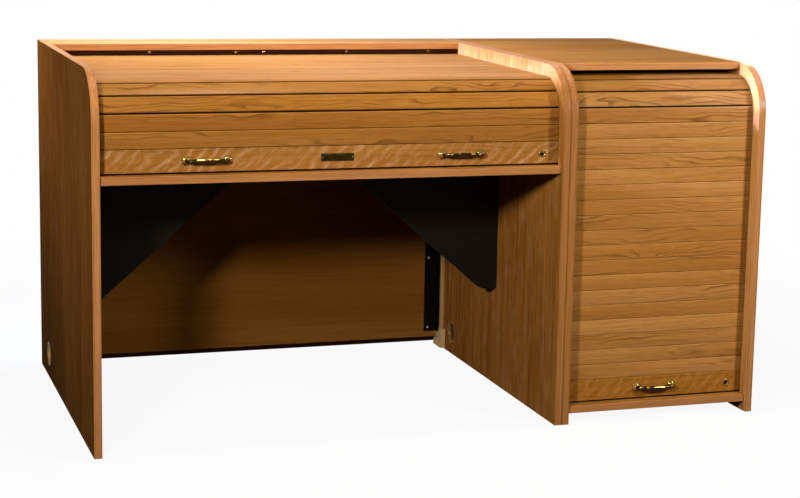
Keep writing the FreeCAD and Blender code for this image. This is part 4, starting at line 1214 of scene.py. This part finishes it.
def make_grommet(context, node):
    """A flanged sleeve with a rounded lip."""
    low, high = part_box(node)
    middle = (low + high) / 2.0
    rim, length = (high.z - low.z) / 2.0, high.x - low.x
    sleeve, bore = rim - GROMMET_FLANGE, rim - GROMMET_BORE_INSET
    ring = [(bore, 0.0), (sleeve, 0.0), (sleeve, length - GROMMET_LIP),
            *((rim - inset, length - GROMMET_LIP * share) for inset, share in LIP_OUTSIDE),
            *((bore + past, length - GROMMET_LIP * share) for past, share in LIP_INSIDE)]
    form = Form().join(turned(ring, 2 * context.scene.roll_top_sizes.round_steps, loop=True),
                       facing((-1.0, 0.0, 0.0), Vector((high.x, middle.y, middle.z))))
    return stand_in(context, node + "_ring", form.mesh(node + "_ring"), [node])


# Screws, pins and bolts

AXES = {"x": 0, "y": 1, "z": 2}
SCREW_STEPS = 24
SCREW_ROLL = 37.0
HEAD_RISE = 0.0022
HEAD_RISE_SHARE = 0.25
SHANK_SHARE = 0.44
SHANK_TIP_SHARE = 0.4
SHANK_TAPER_SHARE = 0.85
CROSS_LENGTH_SHARE = 0.62
CROSS_WIDTH_SHARE = 0.11
CROSS_FLOOR_SHARE = 0.55
CUP_STEPS = 32
CUP_HEAD_SHARE = 0.6
CUP_SHANK_SHARE = 0.36

# Shares of a head's radius and of its rise
HEAD_SHARES = ((1.0, 0.0), (1.0, 0.35), (0.86, 0.75), (0.55, 0.96), (0.0, 1.0))
CUP_SHARES = ((0.55, 0.0), (1.0, 0.0), (0.96, 0.35), (0.7, 0.8), (0.55, 0.7))


def screw_form(head, rise, shank, length, cross):
    """A screw with a domed head at the origin, its shank down -Z, and a cross in its head if asked."""
    profile = [(0.0, -length), (shank * SHANK_TIP_SHARE, -length), (shank, -length * SHANK_TAPER_SHARE),
               (shank, 0.0), *((head * wide, rise * tall) for wide, tall in HEAD_SHARES)]
    mesh = Form().join(turned(profile, SCREW_STEPS)).mesh("screw_blank")
    long, thin, floor = head * CROSS_LENGTH_SHARE, head * CROSS_WIDTH_SHARE, rise * CROSS_FLOOR_SHARE
    for x, y in ((long, thin), (thin, long)) if cross else ():
        mesh = carved(mesh, Form().join(bar((-x, -y, floor), (x, y, 2.0 * rise))).mesh("slot_tool"))
    return mesh


def cup_form(head, rise, length, cross):
    """A smaller screw in a cup washer."""
    mesh = screw_form(head * CUP_HEAD_SHARE, rise, head * CUP_SHANK_SHARE, length, cross)
    ring = [(head * wide, rise * tall) for wide, tall in CUP_SHARES]
    shape = bmesh.new()
    shape.from_mesh(mesh)
    shape.from_mesh(Form().join(turned(ring, CUP_STEPS, loop=True)).mesh("cup"))
    shape.to_mesh(mesh)
    shape.free()
    return mesh


def make_fasteners(context, node, axis, head_side, cross=True, cup=False, finish=None):
    """Replaces a packed group of fasteners, each with its head on the given side along an axis."""
    boxes = [(corners.min(0), corners.max(0)) for corners in islands(node)]
    index = AXES[axis]
    size = boxes[0][1] - boxes[0][0]
    head = max(size[other] for other in range(3) if other != index) / 2.0
    rise = min(HEAD_RISE, HEAD_RISE_SHARE * size[index])
    length = size[index] - rise
    if cup:
        form = cup_form(head, rise, length, cross)
    else:
        form = screw_form(head, rise, head * SHANK_SHARE, length, cross)
    pattern = linked("fastener_pattern", form)
    places, turns = [], []
    for number, (low, high) in enumerate(boxes):
        side = head_side(low, high) if callable(head_side) else head_side
        place = (low + high) / 2.0
        place[index] = (high[index] - rise) if side > 0 else (low[index] + rise)
        way = Vector((0.0, 0.0, 0.0))
        way[index] = side
        roll = Matrix.Rotation(math.radians(SCREW_ROLL * number), 3, "Z")
        places.append(Vector(place))
        turns.append((way.to_track_quat("Z", "Y").to_matrix() @ roll).to_euler())
    made = grown(node + "_form", fastener_tree(), places, turns, {
        "Fastener": pattern, "Material": finish_for(finish or SLOT_OF[node], context)})
    bpy.data.objects.remove(pattern)
    return stand_in(context, node + "_metal", made, [node], finish=finish)


# Operators, one for each group of pieces

class DESK_OT_side_panels(bpy.types.Operator):
    """Veneer the four side panels and band their edges"""

    bl_idname = "desk.side_panels"
    bl_label = "Side panels"

    def execute(self, context):
        paint_nodes(context, SIDE_PANELS)
        return {"FINISHED"}


class DESK_OT_boards(bpy.types.Operator):
    """Veneer the desktop, tops, floor, shelves and backs"""

    bl_idname = "desk.boards"
    bl_label = "Boards"

    def execute(self, context):
        paint_nodes(context, [
            "desktop", "desk_rear_board", "desk_back_panel", "cabinet_top", "cabinet_floor", "cabinet_back",
            "modesty_panel", "lower_shelf", "upper_shelf"])
        paint_nodes(context, ["rear_valance"], "stained_wood")
        return {"FINISHED"}


class DESK_OT_curtains(bpy.types.Operator):
    """Make the slats of both curtains and the canvas on their backs"""

    bl_idname = "desk.curtains"
    bl_label = "Curtains"

    def execute(self, context):
        slats = {node: make_slats(context, node) for node in FIRST_SLAT}
        cloths = {node: make_canvas(context, node.replace("slats", "canvas"), node) for node in FIRST_SLAT}
        low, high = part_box("cabinet_front_slats")
        slide = next(joint for joint in frame["joints"] if joint["name"] == "cabinet_lift_slide")
        left_over = 1.0 - slide["range_m"][1] / (high.z - low.z)
        for piece in (slats["cabinet_front_slats"], cloths["cabinet_front_slats"]):
            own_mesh(piece)
        return {"FINISHED"}


class DESK_OT_rails(bpy.types.Operator):
    """Finish the lift rails and the dark strips under them"""

    bl_idname = "desk.rails"
    bl_label = "Lift rails"

    def execute(self, context):
        paint_nodes(context, ["desk_lift_rail", "cabinet_lift_rail", "desk_rail_seal", "cabinet_rail_seal"])
        return {"FINISHED"}


class DESK_OT_brass(bpy.types.Operator):
    """Make the bow pulls, the locks and the bare plate"""

    bl_idname = "desk.brass"
    bl_label = "Pulls, locks and plate"

    def execute(self, context):
        for node in ("desk_left_pull", "desk_right_pull", "cabinet_pull"):
            make_pull(context, node)
        for unit in ("desk", "cabinet"):
            make_lock(context, unit)
        make_plate(context)
        paint_nodes(context, ["desk_lock_cam", "cabinet_lock_cam"])
        return {"FINISHED"}


class DESK_OT_kneehole(bpy.types.Operator):
    """Finish the gussets, angles, cleats, foot blocks and grommets"""

    bl_idname = "desk.kneehole"
    bl_label = "Kneehole fittings"

    def execute(self, context):
        paint_nodes(context, [
            "left_gusset", "right_gusset", "left_corner_angle", "right_corner_angle", "left_rear_cleat",
            "right_rear_cleat"])
        paint_nodes(context, ["left_foot_block", "right_foot_block"], "pale_wood")
        for node in ("left_cable_grommet", "right_cable_grommet"):
            make_grommet(context, node)
        return {"FINISHED"}


class DESK_OT_fasteners(bpy.types.Operator):
    """Make the screws, pins and bolts"""

    bl_idname = "desk.fasteners"
    bl_label = "Screws, pins and bolts"

    def execute(self, context):
        make_fasteners(context, "corner_angle_screws", "y", -1)
        make_fasteners(context, "valance_screws", "y", -1, cup=True, finish="polished_brass")
        middle = sum(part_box("modesty_panel"), Vector()).x / 2.0
        make_fasteners(context, "foot_block_screws", "x", lambda low, high: 1 if high[0] < middle else -1)
        make_fasteners(context, "desk_pull_screws", "y", 1)
        make_fasteners(context, "cabinet_pull_screws", "y", 1)
        make_fasteners(context, "name_plate_pins", "y", -1, cross=False)
        paint_nodes(context, ["shelf_pins", "unit_bolts"])
        return {"FINISHED"}


class DESK_OT_stage(bpy.types.Operator):
    """Set the floor, the lights and the camera"""

    bl_idname = "desk.stage"
    bl_label = "Stage"

    def execute(self, context):
        stage = context.scene.roll_top_stage
        make_floor(stage.floor_reach)
        make_world(context.scene)
        make_lights()
        make_camera(context.scene, stage)
        context.scene.view_settings.view_transform = "Standard"
        return {"FINISHED"}


# Stage

def seen_white(graph):
    """1 for the rays that should see the white studio: camera, gloss and glass."""
    rays = graph.add("ShaderNodeLightPath").socket.node.outputs
    camera, glossy, through = (Socket(graph, rays[name]) for name in (
        "Is Camera Ray", "Is Glossy Ray", "Is Transmission Ray"))
    return camera.most(glossy).most(through)


FLOOR_LEVEL = -0.0004
FLOOR_GREY = (0.86, 0.86, 0.86, 1.0)
FLOOR_BOUNCE = (0.05, 0.048, 0.046, 1.0)
DIM_LIGHT = 0.022


def make_floor(reach):
    """A pale floor that keeps the desk's shadow."""
    mesh = bpy.data.meshes.new("floor")
    mesh.from_pydata([(x * reach, y * reach, FLOOR_LEVEL) for x, y in ((-1, -1), (1, -1), (1, 1), (-1, 1))],
                     [], [(0, 1, 2, 3)])
    material = bpy.data.materials.new("pale_floor")
    material.use_nodes = True
    graph = Graph(material.node_tree)
    graph.tree.nodes.clear()
    lit = graph.add("ShaderNodeBsdfDiffuse", None, {"Color": FLOOR_GREY})
    glow = graph.add("ShaderNodeEmission", None, {"Color": WHITE, "Strength": 1.0})
    x, y, _ = graph.coordinate("Object")
    away = (x * x + y * y).rise(2.0, 9.0)
    pale = graph.add("ShaderNodeMixShader", None, [0.92 + away * 0.08, lit, glow])
    dull = graph.add("ShaderNodeBsdfDiffuse", None, {"Color": FLOOR_BOUNCE})
    both = graph.add("ShaderNodeMixShader", None, [seen_white(graph), dull, pale])
    end = graph.tree.nodes.new("ShaderNodeOutputMaterial")
    graph.put(end.inputs["Surface"], both)
    mesh.materials.append(material)
    linked("floor", mesh)


def make_world(scene):
    """White behind the desk, and a dim even light from all round."""
    scene.world = bpy.data.worlds.new("studio")
    scene.world.use_nodes = True
    graph = Graph(scene.world.node_tree)
    background = graph.tree.nodes["Background"]
    graph.put(background.inputs["Color"], WHITE)
    graph.put(background.inputs["Strength"], seen_white(graph).most(DIM_LIGHT))


LIGHTS = {
    "right": dict(place=(2.0, -2.42, 1.5), aim=(0.8, -0.5, 0.7), size=(0.4, 0.4), power=13.0, spread=90.0),
    "left": dict(place=(-1.97, -2.6, 1.6), aim=(0.1, -0.5, 0.7), size=(0.35, 0.35), power=23.0, spread=100.0),
    "left_rear": dict(place=(-2.2, 1.6, 1.5), aim=(-0.97, 0.45, 0.95), size=(0.5, 0.5), power=1.2,
                      spread=36.0),
    "rear": dict(place=(0.0, 3.6, 0.55), aim=(0.0, 0.5, 0.5), size=(1.6, 0.6), power=24.0),
    "top_rear": dict(place=(-0.6, 0.6, 2.0), aim=(-0.4, 0.0, 0.95), size=(0.5, 0.5), power=31.0,
                     colour=(0.9, 1.1, 1.9), glare=False),
    "top": dict(place=(-0.2, -0.55, 3.3), aim=(0.3, -0.3, 0.95), size=(0.3, 0.3), power=41.0,
                colour=(1.0, 0.93, 0.8)),
    "wall": dict(place=(-0.1, 3.0, 1.18), aim=(-0.1, -1.0, 1.0), size=(2.0, 0.3), power=2.8),
    "low_window": dict(place=(-3.2, 0.0, 1.3), aim=(0.34, 0.0, 0.975), size=(0.8, 0.03), power=1.1,
                       spread=3.0, colour=(0.62, 0.96, 3.1), glare=False),
    "low_window_front": dict(place=(-3.2, -0.62, 1.66), aim=(0.6, -0.62, 1.03), size=(0.4, 0.03), power=1.55,
                             spread=4.0, colour=(0.72, 1.0, 2.9), glare=False),
}


def make_light(name, place, aim, size, power, spread=180.0, colour=(1.0, 1.0, 1.0), glare=True):
    """A lamp of some width and height that looks at a point. One without glare isn't seen in reflections."""
    lamp = bpy.data.lights.new(name, "AREA")
    wide, tall = size
    lamp.shape = "DISK" if wide == tall else "RECTANGLE"
    lamp.size, lamp.size_y = wide, tall
    lamp.energy = power
    lamp.color = colour
    lamp.spread = math.radians(spread)
    thing = linked(name, lamp)
    thing.visible_camera = False
    thing.visible_glossy = glare
    thing.location = place
    thing.rotation_euler = (Vector(aim) - Vector(place)).to_track_quat("-Z", "Y").to_euler()


def make_lights():
    """Soft lamps on both sides, overhead and behind, and low glows from behind and from the left."""
    for name, light in LIGHTS.items():
        make_light(name, **light)


SENSOR_WIDTH = 36.0
CLIP_END = 200.0


def make_camera(scene, stage):
    """The photograph's viewpoint."""
    yaw, pitch, roll = stage.camera_yaw, stage.camera_pitch, stage.camera_roll
    ahead = Vector((math.sin(yaw) * math.cos(pitch), math.cos(yaw) * math.cos(pitch), -math.sin(pitch)))
    right = Vector((math.cos(yaw), -math.sin(yaw), 0.0))
    down = ahead.cross(right)
    rolled_right = right * math.cos(roll) - down * math.sin(roll)
    rolled_down = right * math.sin(roll) + down * math.cos(roll)
    camera = linked("camera", bpy.data.cameras.new("camera"))
    axes = Matrix((rolled_right, -rolled_down, -ahead)).transposed()
    camera.matrix_world = Matrix.Translation(Vector(stage.camera_place)) @ axes.to_4x4()
    camera.data.sensor_fit = "HORIZONTAL"
    camera.data.sensor_width = SENSOR_WIDTH
    camera.data.lens = stage.camera_lens
    camera.data.shift_x, camera.data.shift_y = stage.camera_shift
    camera.data.clip_end = CLIP_END
    scene.camera = camera


# Panel and registration

GROUPS = {
    "roll_top_sizes": RollTopSizes, "roll_top_finishes": RollTopFinishes, "roll_top_stage": RollTopStage}
OPERATORS = (
    DESK_OT_side_panels, DESK_OT_boards, DESK_OT_curtains, DESK_OT_rails, DESK_OT_brass, DESK_OT_kneehole,
    DESK_OT_fasteners, DESK_OT_stage,
)


class VIEW3D_PT_roll_top_desk(bpy.types.Panel):
    """Sizes, colours and pieces of the desk"""

    bl_label = "Roll-top desk"
    bl_space_type = "VIEW_3D"
    bl_region_type = "UI"
    bl_category = "Roll-top desk"

    def draw(self, context):
        for group in GROUPS:
            box = self.layout.box()
            for name in GROUPS[group].__annotations__:
                box.prop(getattr(context.scene, group), name)
        for operator in OPERATORS:
            self.layout.operator(operator.bl_idname)


def register():
    for group in GROUPS.values():
        bpy.utils.register_class(group)
    for operator in (*OPERATORS, VIEW3D_PT_roll_top_desk):
        bpy.utils.register_class(operator)
    for name, group in GROUPS.items():
        setattr(bpy.types.Scene, name, PointerProperty(type=group))


def unregister():
    for name in GROUPS:
        delattr(bpy.types.Scene, name)
    for made in (VIEW3D_PT_roll_top_desk, *reversed(OPERATORS), *GROUPS.values()):
        bpy.utils.unregister_class(made)


def main():
    register()
    bpy.ops.desk.side_panels()
    bpy.ops.desk.boards()
    bpy.ops.desk.curtains()
    bpy.ops.desk.rails()
    bpy.ops.desk.brass()
    bpy.ops.desk.kneehole()
    bpy.ops.desk.fasteners()
    bpy.ops.desk.stage()


if __name__ == "__main__":
    main()
